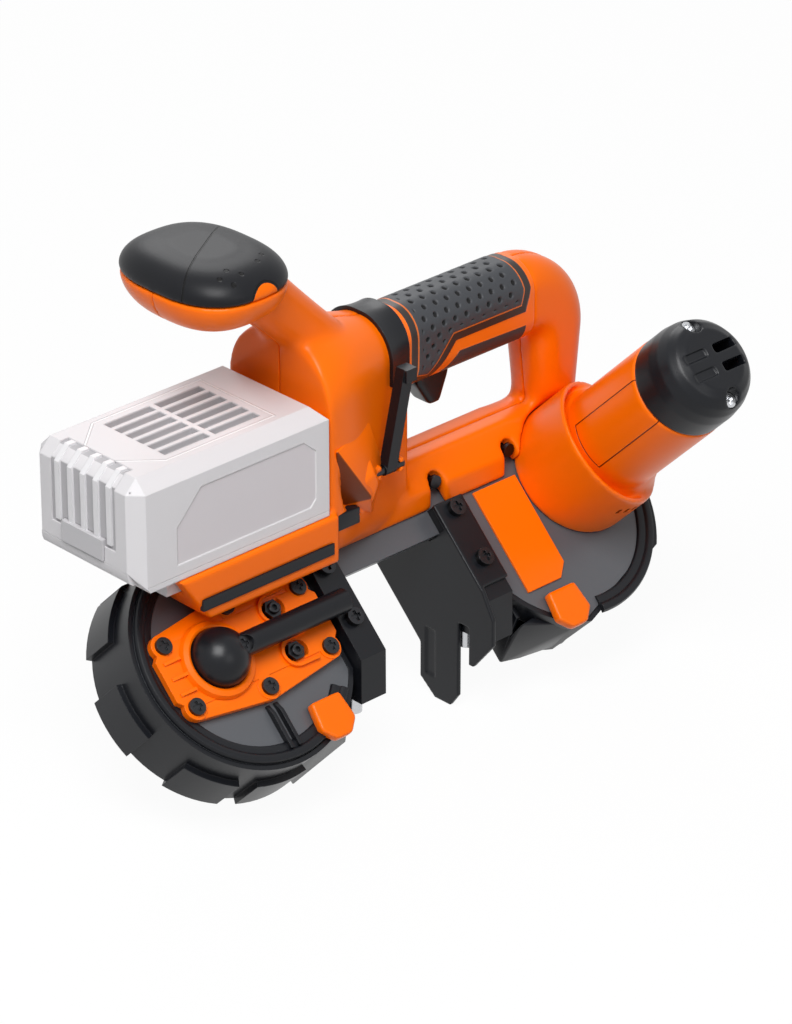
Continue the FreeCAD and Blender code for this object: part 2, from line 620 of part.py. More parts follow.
def idler_parts():
    """Idler wheel, tyre, bearing, axle, the tension carriage and its studs."""
    node("idler_wheel", wheel(as_size(0), s.idler_bearing_radius), "band")
    node("idler_tyre", tyre(as_size(0)), "band")
    half = s.wheel_width / 2
    node("idler_bearing", ring(s.idler_bearing_radius, s.axle_radius + s.fit,
                               -s.wheel_depth - half, -s.wheel_depth + half), "band")
    collar = rod(s.axle_radius + s.tyre_thickness, wheel_high + s.seat_gap, carriage_low)
    retainer = rod(s.axle_radius + s.tyre_thickness, wheel_low - s.wheel_bolt_height,
                   wheel_low - s.seat_gap)
    stem = rod(s.axle_radius, wheel_low - s.wheel_bolt_height, carriage_high)
    node("idler_axle", fuse(stem, collar, retainer), "band")
    plate = block((-s.carriage_low_x, s.carriage_high_x),
                  (-s.carriage_half_width, s.carriage_half_width), (carriage_low, carriage_high))
    through = (carriage_low - s.overrun, carriage_high + s.overrun)
    axle_hole = rod(s.axle_radius, *through)
    reach = s.tension_travel / 2 + s.cam_radius + s.seat_gap
    play = s.cam_radius + s.cam_play
    cam_x = -s.lever_x - s.tension_travel / 2
    cam_slot = block((cam_x - play, cam_x + play), (-reach, reach), through)
    stud_holes = [rod(s.stud_radius, *through, s.stud_x, sign * s.stud_y) for sign in (1, -1)]
    node("tension_carriage", cut(plate, axle_hole, cam_slot, *stud_holes), "band")
    node("tension_studs", fuse(stud(1), stud(-1)), "band")


NUT_SIDES = 6


def stud(sign):
    """A carriage stud with its washer and hexagon nut in the plate's slot."""
    y = sign * s.stud_y
    top = s.plate_thickness + s.plate_head_height
    stem = rod(s.stud_radius, carriage_low, top, s.stud_x, y)
    nut_low = top - s.nut_height
    nut = doc.addObject("Part::Prism", "nut")
    nut.Polygon = NUT_SIDES
    bind(nut, Circumradius=s.nut_radius, Height=s.nut_height - s.fit)
    put(nut, s.stud_x, y, nut_low)
    return fuse(stem, nut)


def tension_plate():
    """The orange plate that holds the tension lever, with screw bosses and stud slots."""
    half = s.plate_length / 2
    side = s.plate_width / 2
    c = s.plate_corner
    points = [(-half, -side + 2 * c), (-half + c, -side + c), (half - c, -side + c),
              (half, -side + 2 * c), (half, side - 2 * c), (half - c, side - c),
              (-half + c, side - c), (-half, side - 2 * c)]
    plate = padded(points, "XY_Plane", as_size(0), s.plate_thickness)
    bosses = [rod(s.plate_boss_radius, as_size(0), s.plate_thickness, x, y)
              for x, y in plate_screw_places()]
    through = (-s.overrun, s.plate_thickness + s.overrun)
    slots = [stud_slot(sign, s.nut_radius + s.seat_gap, *through) for sign in (1, -1)]
    holes = [rod(s.plate_screw_radius + s.fit, *through, x, y) for x, y in plate_screw_places()]
    shaft_hole = rod(s.lever_shaft_radius + s.fit, *through, -s.lever_x)
    return cut(fuse(plate, *bosses), *slots, *holes, shaft_hole)


# Shares of a screw head: the depth, half width and half length of its cross
CROSS_DEPTH_SHARE = 0.5
CROSS_WIDTH_SHARE = 0.2
CROSS_REACH_SHARE = 0.6


def screw(x, y, seat, radius, head_radius, head_height, depth):
    """A cross head screw along z, with its head on a seat."""
    shank = rod(radius, seat - depth, seat + s.fit, x, y)
    head = rod(head_radius, seat, seat + head_height, x, y)
    slot_depth = head_height * CROSS_DEPTH_SHARE
    slot_width = head_radius * CROSS_WIDTH_SHARE
    slot_reach = head_radius * CROSS_REACH_SHARE
    high = (seat + head_height - slot_depth, seat + head_height + s.overrun)
    first = block((x - slot_reach, x + slot_reach), (y - slot_width, y + slot_width), high)
    second = block((x - slot_width, x + slot_width), (y - slot_reach, y + slot_reach), high)
    return cut(fuse(shank, head), first, second)


def tension_lever():
    """The black lever: a domed hub, an arm, a shaft and the eccentric that moves the carriage."""
    x = -s.lever_x
    floor = s.plate_thickness + s.seat_gap
    dome = common(ball(s.lever_dome_radius, x, 0, s.lever_dome_sink),
                  rod(s.lever_dome_radius - s.seat_gap, floor, 2 * s.lever_dome_radius, x))
    end = x + s.lever_arm_length
    arm = rod_x(s.lever_arm_radius, x, end, 0, s.lever_arm_height)
    shaft = rod(s.lever_shaft_radius, frame_low - s.fit, floor + s.overrun, x)
    cam = rod(s.cam_radius, carriage_low, frame_low, x - s.tension_travel / 2)
    well = rod(s.lever_screw_radius + s.fit, s.lever_screw_low, 2 * s.lever_dome_radius,
               -s.lever_screw_x)
    thread = rod(s.plate_screw_radius + s.fit, s.lever_screw_low - s.plate_screw_depth,
                 s.lever_screw_low + s.fit, -s.lever_screw_x)
    return cut(fuse(dome, arm, shaft, cam), well, thread)


def upright(w, u):
    """Turn upright coordinates, w to the operator's left and u up, into band y and z."""
    return (u - w) * ROOT_HALF, (w + u) * ROOT_HALF


def turned_upright(*pieces):
    """Set pieces that were made upright into the band frame."""
    obj = doc.addObject("Part::Compound", "turned")
    obj.Links = list(pieces)
    obj.Placement = FreeCAD.Placement(Vec(0, 0, 0), TILT.inverted())
    return obj


SIDE_ROLLER_SHARE = -0.23
THRUST_ROLLER_SHARE = 0.18
roller_high = -s.leg_bottom - s.seat_gap
roller_low = roller_high - s.roller_length
roller_aside = s.roller_radius + s.blade_thickness / 2 + s.roller_gap
thrust_u = back_u + s.thrust_radius + s.roller_gap


def guide_middle(x):
    """The middle of a guide that starts at x."""
    return x + s.guide_length / 2


def guide_bracket(x):
    """A black guide bracket: a pad on the frame face and a leg that hangs to the blade."""
    edge = s.neck_edge - s.seat_gap
    under = frame_low - s.seat_gap
    near = upright(s.leg_near, -s.leg_bottom)
    far = upright(-s.leg_far, -s.leg_bottom)
    inner = (s.leg_far / ROOT_HALF + under, under)
    points = [(s.guide_pad_back, 0), (s.guide_pad_back, s.guide_pad_height),
              (-s.guide_pad_reach, s.guide_pad_height), near, far, inner, (edge, under), (edge, 0)]
    body = padded(points, "YZ_Plane", x, s.guide_length)
    middle = guide_middle(x)
    side_x = middle + s.guide_length * SIDE_ROLLER_SHARE
    thrust_x = middle + s.guide_length * THRUST_ROLLER_SHARE
    room = s.thrust_radius + 2 * s.seat_gap
    half = s.thrust_width / 2 + s.seat_gap
    pocket = block((thrust_x - room, thrust_x + room), (-blade_w - half, -blade_w + half),
                   (-s.leg_bottom - s.overrun, thrust_u + room))
    pin = s.roller_pin_radius
    holes = [rod(pin + s.fit, -s.leg_bottom - s.overrun, -s.leg_bottom + s.pin_engagement, side_x,
                 -blade_w + sign * roller_aside) for sign in (1, -1)]
    holes.append(rod_y(pin + s.fit, -blade_w - s.pin_engagement, -blade_w + s.pin_engagement,
                       thrust_x, thrust_u))
    screws = [rod(s.guide_screw_radius + s.fit, -s.overrun, s.guide_pad_height + s.overrun, middle, y)
              for y in (s.guide_screw_back, -s.guide_screw_front)]
    return cut(body, *[turned_upright(piece) for piece in (pocket, *holes)], *screws)


def guide_rollers(side, x):
    """The two side rollers and the thrust roller of one guide; gives back their pins."""
    middle = guide_middle(x)
    side_x = middle + s.guide_length * SIDE_ROLLER_SHARE
    thrust_x = middle + s.guide_length * THRUST_ROLLER_SHARE
    pin = s.roller_pin_radius
    pins = []
    for name, sign in (("far", 1), ("near", -1)):
        y = -blade_w + sign * roller_aside
        node("%s_roller_%s" % (side, name),
             ring(s.roller_radius, pin + s.fit, roller_low, roller_high, side_x, y), "tool")
        pins.append(rod(pin, roller_low, -s.leg_bottom + s.pin_engagement, side_x, y))
    half = s.thrust_width / 2
    wheel_y = (-blade_w - half, -blade_w + half)
    drum = cut(rod_y(s.thrust_radius, *wheel_y, thrust_x, thrust_u),
               rod_y(pin + s.fit, wheel_y[0] - s.overrun, wheel_y[1] + s.overrun, thrust_x, thrust_u))
    node(side + "_thrust_roller", drum, "tool")
    pins.append(rod_y(pin, -blade_w - s.pin_engagement, -blade_w + s.pin_engagement,
                      thrust_x, thrust_u))
    return pins


def guide_screws(x, seat):
    """The two screws on top of one guide."""
    middle = guide_middle(x)
    return fuse(*[screw(middle, y, seat, s.guide_screw_radius, s.guide_head_radius,
                        s.guide_head_height, s.guide_pad_height)
                  for y in (s.guide_screw_back, -s.guide_screw_front)])


TAIL_TIP_SHARE = 0.25


def work_stop():
    """The bent sheet that the work rests against, with a blade slot and a grooved tail."""
    edge = s.neck_edge - s.seat_gap - s.fit
    top = s.guide_pad_height + s.stop_thickness
    slot_left = blade_w - s.slot_half_width
    slot_right = blade_w + s.slot_half_width
    points = [(edge, top), (-s.stop_brow, top), upright(s.prong_right, -s.stop_brow),
              upright(s.prong_right, -s.prong_shoulder), upright(s.prong_tip_w, -s.prong_tip),
              upright(slot_right, -s.prong_tip), upright(slot_right, -s.slot_roof),
              upright(slot_left, -s.slot_roof), upright(slot_left, -s.tail_corner),
              upright(slot_left * TAIL_TIP_SHARE, -s.tail_tip), upright(-s.tail_foot, -s.tail_tip),
              upright(-s.tail_left, -s.tail_shoulder),
              upright(-s.tail_left, s.tail_left - s.stop_bottom_edge / ROOT_HALF),
              (s.guide_pad_back, -s.stop_bottom_edge), (s.guide_pad_back, -s.stop_under_edge),
              (edge, -s.stop_under_edge)]
    plate = padded(points, "YZ_Plane", s.stop_x, s.stop_thickness)
    flange = block((s.stop_x, s.stop_x + s.flange_length), (-s.flange_front, s.guide_pad_back),
                   (s.guide_pad_height, top))
    groove = block((s.stop_x - s.overrun, s.stop_x + s.groove_depth),
                   (s.groove_right, s.groove_left), (-s.groove_bottom, -s.groove_top))
    middle = guide_middle(guide_rear_x)
    holes = [rod(s.guide_screw_radius + s.fit, s.guide_pad_height - s.overrun, top + s.overrun,
                 middle, y) for y in (s.guide_screw_back, -s.guide_screw_front)]
    return cut(fuse(plate, flange), turned_upright(groove), *holes)




# Shares of the latch: its widest half width and the half width of its tip
LATCH_WIDE_SHARE = 1.2
LATCH_TIP_SHARE = 0.5


def cover_latch(x, side):
    """An orange wedge shaped turn latch on its pin, over the rim of the cover."""
    reach = s.latch_reach
    half = s.latch_half_width
    points = [(-half, s.latch_tail), (half, s.latch_tail), (half * LATCH_WIDE_SHARE, -reach / 2),
              (half * LATCH_TIP_SHARE, -reach), (-half * LATCH_TIP_SHARE, -reach),
              (-half * LATCH_WIDE_SHARE, -reach / 2)]
    places = [(x + side * a, b - s.latch_y) for a, b in points]
    places = places if side > 0 else list(reversed(places))
    knob = padded(places, "XY_Plane", s.seat_gap, s.latch_height)
    pin = rod(s.latch_pin_radius, -s.latch_pin_depth, s.seat_gap + s.fit, x, -s.latch_y)
    return fuse(knob, pin)


def label_plate():
    """A bare orange plate with one cut corner, on the grey face beside the motor."""
    high = motor_x - s.motor_base_radius - s.label_gap
    low = high - s.label_length
    points = [(low, -s.label_front), (high - s.label_chamfer, -s.label_front),
              (high, -s.label_front + s.label_chamfer), (high, s.label_back), (low, s.label_back)]
    return padded(points, "XY_Plane", as_size(0), s.label_thickness)


def motor_housing():
    """The orange motor shell: a wide gear foot that narrows to the barrel."""
    outline = [(0, 0), (s.motor_base_radius, 0), (s.motor_base_radius, s.motor_base_height),
               (s.motor_barrel_radius, s.motor_neck_height),
               (s.motor_barrel_radius, s.motor_barrel_height), (0, s.motor_barrel_height)]
    heel = rod(s.heel_radius, as_size(0), s.heel_height, s.heel_offset)
    shell = fuse(revolved(outline), heel, motor_shoe())
    heel_room = rod(s.heel_radius - s.motor_wall, -s.overrun, s.heel_height - s.motor_wall, s.heel_offset)
    gear_room = rod(s.motor_base_radius - s.motor_wall, -s.overrun, s.motor_base_height)
    neck_room = rod(s.motor_barrel_radius - s.motor_wall, as_size(0), s.partition_low)
    motor_room = rod(s.motor_barrel_radius - s.motor_wall, s.partition_low + s.partition_thickness,
                     s.motor_barrel_height + s.overrun)
    bearing = rod(s.motor_bearing_radius + s.fit, s.partition_low - s.overrun,
                  s.motor_barrel_height)
    stage_x, stage_y = stage_place()
    stage_at = (stage_x - motor_x, stage_y - s.motor_offset_y)
    stub = rod(s.stage_stub + s.fit, as_size(0), s.partition_low + s.partition_thickness, *stage_at)
    stage_room = rod(stage_reach, -s.overrun, stage_high, *stage_at)
    obj = cut(shell, gear_room, heel_room, neck_room, motor_room, bearing, stub, stage_room)
    return at_motor(obj)


def above_slant(height):
    """What lies over the slanted top of the gear foot, from its height on the motor's axis."""
    far = s.motor_barrel_height
    slab = doc.addObject("Part::Compound", "slab")
    slab.Links = [block((-far, far), (-far, far), (as_size(0), far))]
    return put(slab, 0, 0, height, FreeCAD.Rotation(Vec(0, 1, 0), s.shoe_slant.value))


def motor_shoe():
    """The high lip of the gear foot, slanted along the saw and scooped out round the barrel."""
    body = rod(s.motor_base_radius, as_size(0), s.motor_barrel_height / 2)
    scoop = common(rod(s.motor_base_radius - s.shoe_lip, as_size(0), s.motor_barrel_height / 2),
                   above_slant(s.shoe_middle - s.scoop_depth))
    return cut(body, above_slant(s.shoe_middle), scoop)


def at_motor(*pieces):
    """Move pieces made on the z axis to the motor's axis."""
    obj = doc.addObject("Part::Compound", "at_motor")
    obj.Links = list(pieces)
    return put(obj, motor_x, s.motor_offset_y, 0)


# Radius and height shares of the cap's domed outline, then the middles of its four slots
CAP_OUTLINE_SHARES = ((1.0, 0.0), (1.0, 0.42), (0.965, 0.64), (0.89, 0.81), (0.77, 0.93), (0.6, 1.0))
CAP_SLOT_SHARES = ((-0.5, -0.26), (-0.5, 0.26), (0.5, -0.26), (0.5, 0.26))
CAP_SLOT_LENGTH_SHARE = 0.36
CAP_SLOT_WIDTH_SHARE = 0.12
CAP_ROOM_SHARES = ((0.88, 0.42), (0.66, 0.82))
CAP_BLIND_SHARE = 0.5
CAP_BOSS_SHARE = 2.0
CAP_WELL_SHARE = 1.7
CAP_HEAD_SHARE = 1.6


def motor_cap():
    """The black end cap with its air slots and screw wells."""
    low = s.motor_barrel_height
    high = low + s.cap_height
    radius = s.motor_barrel_radius - s.seat_gap
    outline = [(0, low)] + [(radius * a, low + s.cap_height * b) for a, b in CAP_OUTLINE_SHARES]
    outline.append((0, high))
    rooms = [rod(radius * a, low - s.overrun, low + s.cap_height * b) for a, b in CAP_ROOM_SHARES]
    boss = [rod(s.cap_screw_radius * CAP_BOSS_SHARE, low, high - s.motor_wall, 0,
                sign * s.cap_screw_circle) for sign in (1, -1)]
    solid = fuse(cut(revolved(outline), *rooms), common(fuse(*boss), revolved(outline)))
    wells = [rod(s.cap_screw_radius * CAP_WELL_SHARE, high - s.cap_well_depth, high + s.overrun, 0,
                 sign * s.cap_screw_circle) for sign in (1, -1)]
    threads = [rod(s.cap_screw_radius + s.fit, low - s.overrun, high, 0, sign * s.cap_screw_circle)
               for sign in (1, -1)]
    slots = []
    half_long = s.cap_top_radius * CAP_SLOT_LENGTH_SHARE
    half_wide = s.cap_top_radius * CAP_SLOT_WIDTH_SHARE
    for a, b in CAP_SLOT_SHARES:
        x, y = s.cap_top_radius * a, s.cap_top_radius * b
        floor = high - s.motor_wall * CAP_BLIND_SHARE if a < 0 else high - s.cap_slot_depth
        slots.append(block((x - half_long, x + half_long), (y - half_wide, y + half_wide),
                           (floor, high + s.overrun)))
    return at_motor(cut(solid, *wells, *threads, *slots))


def motor_parts():
    """Everything on the motor's axis: housing, cap, screws, end plate, stator, rotor, fan, gears."""
    node("motor_housing", motor_housing(), "band")
    node("motor_cap", motor_cap(), "band")
    high = s.motor_barrel_height + s.cap_height
    seat = high - s.cap_well_depth
    screws = [screw(as_size(0), sign * s.cap_screw_circle, seat, s.cap_screw_radius,
                    s.cap_screw_radius * CAP_HEAD_SHARE, s.shell_head_height,
                    seat - s.motor_barrel_height + s.motor_bearing_width) for sign in (1, -1)]
    node("motor_cap_screws", at_motor(fuse(*screws)), "band")
    plate_low = end_plate_low
    plate_high = plate_low + s.motor_bearing_width
    inside = s.motor_barrel_radius - s.motor_wall
    threads = [rod(s.cap_screw_radius + s.fit, plate_low - s.overrun, plate_high + s.overrun, 0,
                   sign * s.cap_screw_circle) for sign in (1, -1)]
    plate = cut(ring(inside, s.motor_bearing_radius + s.fit, plate_low, plate_high), *threads)
    node("motor_end_plate", at_motor(plate), "band")
    bearings = fuse(ring(s.motor_bearing_radius, s.rotor_shaft_radius + s.fit,
                         s.partition_low + s.seat_gap, s.partition_low + s.motor_bearing_width),
                    ring(s.motor_bearing_radius, s.rotor_shaft_radius + s.fit, plate_low, plate_high))
    node("motor_bearings", at_motor(bearings), "band")
    node("motor_stator", at_motor(ring(inside, s.stator_bore, stator_low, stator_high)), "band")
    pinion = gear(FIRST_PINION_TEETH, s.first_module, s.gear_face, 0, as_size(0), as_size(0),
                  s.first_gear_height, ROTOR_TURN)
    shaft = rod(s.rotor_shaft_radius, s.first_gear_height + s.gear_face, plate_high)
    stack = rod(s.rotor_radius, stator_low, stator_high)
    node("motor_rotor", at_motor(fuse(pinion, shaft, stack)), "band")
    node("cooling_fan", at_motor(cooling_fan()), "band")
    node("stage_gear", stage_gear(), "band")


FAN_BLADES = 9
FAN_BLADE_SHARE = 0.92
FAN_DISC_SHARE = 0.2
FAN_HUB_SHARE = 2.0


def cooling_fan():
    """A fan with a hub, a disc and radial blades, pressed on the rotor shaft."""
    hub = rod(s.rotor_shaft_radius * FAN_HUB_SHARE, fan_low, fan_low + s.fan_height)
    disc = rod(s.fan_radius, fan_low, fan_low + s.fan_height * FAN_DISC_SHARE)
    blades = []
    for index in range(FAN_BLADES):
        blade = block((s.rotor_shaft_radius, s.fan_radius * FAN_BLADE_SHARE),
                      (-s.contact_thickness, s.contact_thickness),
                      (fan_low, fan_low + s.fan_height))
        blade.Placement = FreeCAD.Placement(
            Vec(0, 0, 0), FreeCAD.Rotation(Vec(0, 0, 1), FULL_TURN * index / FAN_BLADES))
        turn = math.radians(FULL_TURN * index / FAN_BLADES)
        put(blade, s.rotor_shaft_radius * math.cos(turn) + s.contact_thickness * math.sin(turn),
            s.rotor_shaft_radius * math.sin(turn) - s.contact_thickness * math.cos(turn),
            fan_low, blade.Placement.Rotation)
        blades.append(blade)
    bore = rod(s.rotor_shaft_radius + s.fit, fan_low - s.overrun, fan_low + 2 * s.fan_height)
    return cut(fuse(hub, disc, *blades), bore)


def stage_gear():
    """The middle gear: a large wheel above the frame and a pinion below it on one journal."""
    x, y = stage_place()
    high = s.first_gear_height + s.gear_face
    large = gear(FIRST_GEAR_TEETH, s.first_module, s.gear_face, 0, x, y, s.first_gear_height,
                 MIDDLE_TURN)
    small = gear(SECOND_PINION_TEETH, s.second_module, s.second_face, 0, x, y, gear_low, PINION_TURN)
    journal = rod(s.stage_journal, gear_low + s.second_face, s.first_gear_height, x, y)
    stub = rod(s.stage_stub, high, s.partition_low + s.partition_thickness / 2, x, y)
    return fuse(large, small, journal, stub)


X_AXIS = Vec(1, 0, 0)
Y_AXIS = Vec(0, 1, 0)
Z_AXIS = Vec(0, 0, 1)
CORNERS = 4


def rounded(centre, across, up, width, height, corner):
    """A closed wire of four sides and four round corners."""
    half_w, half_h, r = float(width) / 2, float(height) / 2, float(corner)
    mid = r * (1 - ROOT_HALF)

    def spot(a, b):
        return centre + across * a + up * b

    edges = []
    for turn in range(CORNERS):
        a_sign, b_sign = ((1, 1), (-1, 1), (-1, -1), (1, -1))[turn]
        first = (a_sign * half_w, b_sign * (half_h - r))
        second = (a_sign * (half_w - r), b_sign * half_h)
        if turn % 2:
            first, second = second, first
        middle = (a_sign * (half_w - mid), b_sign * (half_h - mid))
        edges.append((first, middle, second))
    wire = []
    for index, (first, middle, second) in enumerate(edges):
        wire.append(Part.Arc(spot(*first), spot(*middle), spot(*second)).toShape())
        wire.append(Part.LineSegment(spot(*second), spot(*edges[(index + 1) % CORNERS][0])).toShape())
    return Part.Wire(wire)


def lofted(wires):
    """A solid through closed wires."""
    return Part.makeLoft(wires, True, False)


# Each tower section: shares of its length, half width, top height and corner
TOWER_SHARES = ((0.0, 1.0, 1.0), (0.35, 0.90, 1.0), (0.70, 0.66, 0.955), (1.0, 0.52, 0.95))
TOWER_CORNER_SHARE = 0.9


def tower_form(grow, start_gap, low):
    """The tower behind the battery, grown outwards or inwards by a margin."""
    wires = []
    for along_share, half_share, top_share in TOWER_SHARES:
        x = s.tower_front + s.tower_length * along_share
        if along_share == 0:
            x = x + start_gap
        half = s.tower_half_width * half_share + grow
        top = s.tower_top * top_share + grow
        centre = Vec(x, 0, (top + low) / 2)
        wires.append(rounded(centre, Y_AXIS, Z_AXIS, 2 * half, top - low, half * TOWER_CORNER_SHARE))
    return feature(lofted(wires), "tower")


def loop_form(grow):
    """The straight grip and the bend that runs down into the rear post."""
    width, depth = s.grip_width + 2 * grow, s.grip_depth + 2 * grow
    corner = s.grip_corner + grow
    bend_x = s.loop_end - s.loop_bend
    start = rounded(Vec(s.grip_start, 0, s.grip_height), Y_AXIS, Z_AXIS, width, depth, corner)
    end = rounded(Vec(bend_x, 0, s.grip_height), Y_AXIS, Z_AXIS, width, depth, corner)
    bar = lofted([start, end])
    if float(grow) < 0:
        return feature(bar, "grip")
    middle = Vec(bend_x + s.loop_bend * ROOT_HALF, 0,
                 s.grip_height - s.loop_bend * (1 - ROOT_HALF))
    top = Vec(s.loop_end, 0, s.grip_height - s.loop_bend)
    arc = Part.Arc(Vec(bend_x, 0, s.grip_height), middle, top)
    down = Part.LineSegment(top, Vec(s.loop_end, 0, s.post_foot))
    path = Part.Wire([arc.toShape(), down.toShape()])
    foot = rounded(Vec(s.loop_end, 0, s.post_foot), Y_AXIS, X_AXIS, s.post_width, s.post_depth,
                   s.post_corner)
    pipe = Part.BRepOffsetAPI.MakePipeShell(path)
    pipe.add(end)
    pipe.add(foot)
    pipe.build()
    pipe.makeSolid()
    return feature(bar.fuse(pipe.shape()), "loop")


def grip_slice(grow, start, end):
    """A stretch of the straight grip, grown by a margin."""
    wires = [rounded(Vec(x, 0, s.grip_height), Y_AXIS, Z_AXIS, s.grip_width + 2 * grow,
                     s.grip_depth + 2 * grow, s.grip_corner + grow) for x in (start, end)]
    return feature(lofted(wires), "grip")


def arm_form():
    """The arm that sweeps from the tower up and forward to the palm knob."""
    foot = Vec(s.arm_foot_x, 0, s.arm_foot_z)
    head = Vec(s.arm_head_x, 0, arm_head_z)
    ahead = (head - foot).normalize()
    up = ahead.cross(Y_AXIS)
    wires = [rounded(place, Y_AXIS, up, s.arm_width, s.arm_depth, s.arm_corner)
             for place in (foot, head)]
    over_rim = block((s.knob_x - s.knob_half_length, s.knob_x + s.knob_half_length),
                     (-s.arm_width, s.arm_width), (s.knob_rim, s.knob_rim + s.arm_depth))
    return cut(feature(lofted(wires), "arm"), over_rim)


# Height share and radius share of the knob's lower shell and of its soft cap
KNOB_SHELL_SHARES = ((0.0, 0.66), (0.3, 0.87), (0.65, 0.97), (1.0, 1.0))
KNOB_CAP_SHARES = ((0.0, 1.0), (0.4, 0.98), (0.75, 0.84), (0.93, 0.62), (1.0, 0.4))


OVAL_POINTS = 24
OVAL_POWER = 2.6


def oval(centre, half_length, half_width):
    """A closed curve between an ellipse and a rectangle, flat at a height."""
    points = []
    for step in range(OVAL_POINTS):
        turn = 2 * math.pi * step / OVAL_POINTS
        ways = [math.copysign(abs(way) ** (2 / OVAL_POWER), way)
                for way in (math.cos(turn), math.sin(turn))]
        points.append(centre + X_AXIS * (half_length * ways[0]) + Y_AXIS * (half_width * ways[1]))
    curve = Part.BSplineCurve()
    curve.interpolate(points, PeriodicFlag=True)
    return Part.Wire([curve.toShape()])


def knob_form(shares, low, high):
    """An oval form of the palm knob between two heights."""
    wires = []
    for height_share, radius_share in shares:
        z = low + (high - low) * height_share
        centre = Vec(s.knob_x, 0, z)
        wires.append(oval(centre, s.knob_half_length.value * radius_share,
                          s.knob_half_width.value * radius_share))
    return feature(lofted(wires), "knob")


def in_handle(*pieces):
    """Set pieces that were made in the band frame into the handle frame."""
    obj = doc.addObject("Part::Compound", "in_handle")
    obj.Links = list(pieces)
    return put(obj, 0, -s.handle_offset, 0, TILT)


def keep_out():
    """The room that the frame, the cover and the motor foot take from the handle shells."""
    far = 2 * s.wheel_spacing
    band = block((-far, far), (-far, cover_back + s.keepout_gap), (-far, as_size(0)))
    motor = rod(s.motor_base_radius + s.keepout_gap, as_size(0), s.motor_neck_height, motor_x,
                s.motor_offset_y)
    heel = rod(s.heel_radius + s.keepout_gap, as_size(0), s.heel_height, motor_x + s.heel_offset,
               s.motor_offset_y)
    stage = rod(stage_reach, as_size(0), stage_high, *stage_place())
    heads = s.guide_pad_height + s.stop_thickness + s.guide_head_height + s.seat_gap
    guides = block((0, far), (-far, s.guide_pad_back + s.seat_gap), (as_size(0), heads))
    return [in_handle(piece) for piece in (band, motor, heel, stage, guides)]


def bar_form():
    """The saddle bar over the frame neck."""
    side = s.bar_half_width
    top = s.bar_top_half_width
    points = [(-side, s.bar_low), (side, s.bar_low), (side, s.bar_shoulder), (top, s.bar_top),
              (-top, s.bar_top), (-side, s.bar_shoulder)]
    return padded(points, "YZ_Plane", s.tower_front, s.bar_end - s.tower_front)


def foot_form():
    """The battery foot with its channel and the groove of the rubber strip."""
    rear = s.tower_front + s.shell_wall
    side = [(-s.foot_front, s.foot_rim), (-s.foot_front + s.foot_slant, s.foot_low),
            (rear, s.foot_low), (rear, s.foot_rim)]
    body = padded(side, "XZ_Plane", -s.foot_half_width, 2 * s.foot_half_width)
    inner = s.foot_half_width - s.rail_wall
    channel = block((-s.foot_front - s.overrun, s.tower_front), (-inner, inner),
                    (s.foot_floor, s.foot_rim + s.overrun))
    groove = strip_form(as_size(0))
    return cut(body, channel, groove)


def strip_form(gap):
    """The rubber strip along the near side of the foot, or its groove."""
    near = -s.foot_half_width
    return block((-s.strip_front + gap, -s.strip_front + s.strip_length - gap),
                 (near - s.strip_depth / 2, near + s.strip_depth - gap),
                 (s.strip_low + gap, s.strip_low + s.strip_height - gap))


def hook_places():
    """The hook's pin and the middle of its bar, along the saw and in height."""
    pin_z = s.hook_top - s.hook_length
    return s.hook_foot_x, pin_z


CLEVIS_LEAN_SHARE = 0.125


def clevis_half():
    """Half the gap between the hook's ears, with room for its lean."""
    return s.hook_width / 2 + s.seat_gap + s.hook_lean * CLEVIS_LEAN_SHARE


def clevis_form():
    """The two ears that hold the hook's pin on the near shell."""
    x, z = hook_places()
    out = s.hook_y + s.hook_thickness
    half = clevis_half()
    ear = s.hook_pin_radius * 2
    outer = block((x - half - ear, x + half + ear), (-out, 0 - s.bar_top_half_width),
                  (z - ear, z + ear))
    room = block((x - half, x + half), (-out - s.overrun, -s.hook_y + s.seat_gap),
                 (z - ear - s.overrun, z + ear + s.overrun))
    bore = rod_x(s.hook_pin_radius + s.fit, x - half - ear - s.overrun, x + half + ear + s.overrun,
                 -s.hook_y - s.hook_thickness / 2, z)
    return outer, room, bore


def shell_screw_places():
    """Screws that join the shells: x, height, seat and the side that the head is on."""
    post_seat = s.post_width / 2 - s.shell_head_height * 2
    arm_seat = s.arm_width / 2 - s.shell_head_height * 2
    arm_x = (s.arm_foot_x + s.arm_head_x) / 2
    arm_z = (s.arm_foot_z + arm_head_z) / 2
    bar_seat = s.bar_half_width - s.shell_head_height * 2
    return [(s.loop_end, (s.grip_height + s.bar_top) / 2, post_seat, 1), (arm_x, arm_z, arm_seat, 1),
            (s.bar_screw_front, s.bar_screw_height, bar_seat, -1),
            (motor_x - s.motor_base_radius - s.bar_screw_gap, s.bar_screw_height, bar_seat, -1)]


SHORT_SCREW_SHARE = 1 / 3


def shell_screw(x, z, seat, side):
    """One shell screw across the saw, and the pocket that it goes into."""
    length = s.shell_screw_length if side > 0 else s.shell_screw_length * SHORT_SCREW_SHARE
    reach = s.foot_half_width
    if side > 0:
        shank = (seat - length, seat + s.fit)
        head = (seat, seat + s.shell_head_height)
        pocket = (seat, reach)
    else:
        shank = (-seat - s.fit, -seat + length)
        head = (-seat - s.shell_head_height, -seat)
        pocket = (-reach, -seat)
    piece = fuse(rod_y(s.shell_screw_radius, *shank, x, z), rod_y(s.shell_head_radius, *head, x, z))
    hole = fuse(rod_y(s.shell_screw_radius + s.fit, *shank, x, z),
                rod_y(s.shell_head_radius + s.seat_gap, *pocket, x, z))
    return piece, hole


# Play behind the trigger for its swing, and its pin from its front end, in shares
TRIGGER_PLAY_SHARE = 4.0
TRIGGER_PIN_SHARE = 3.0


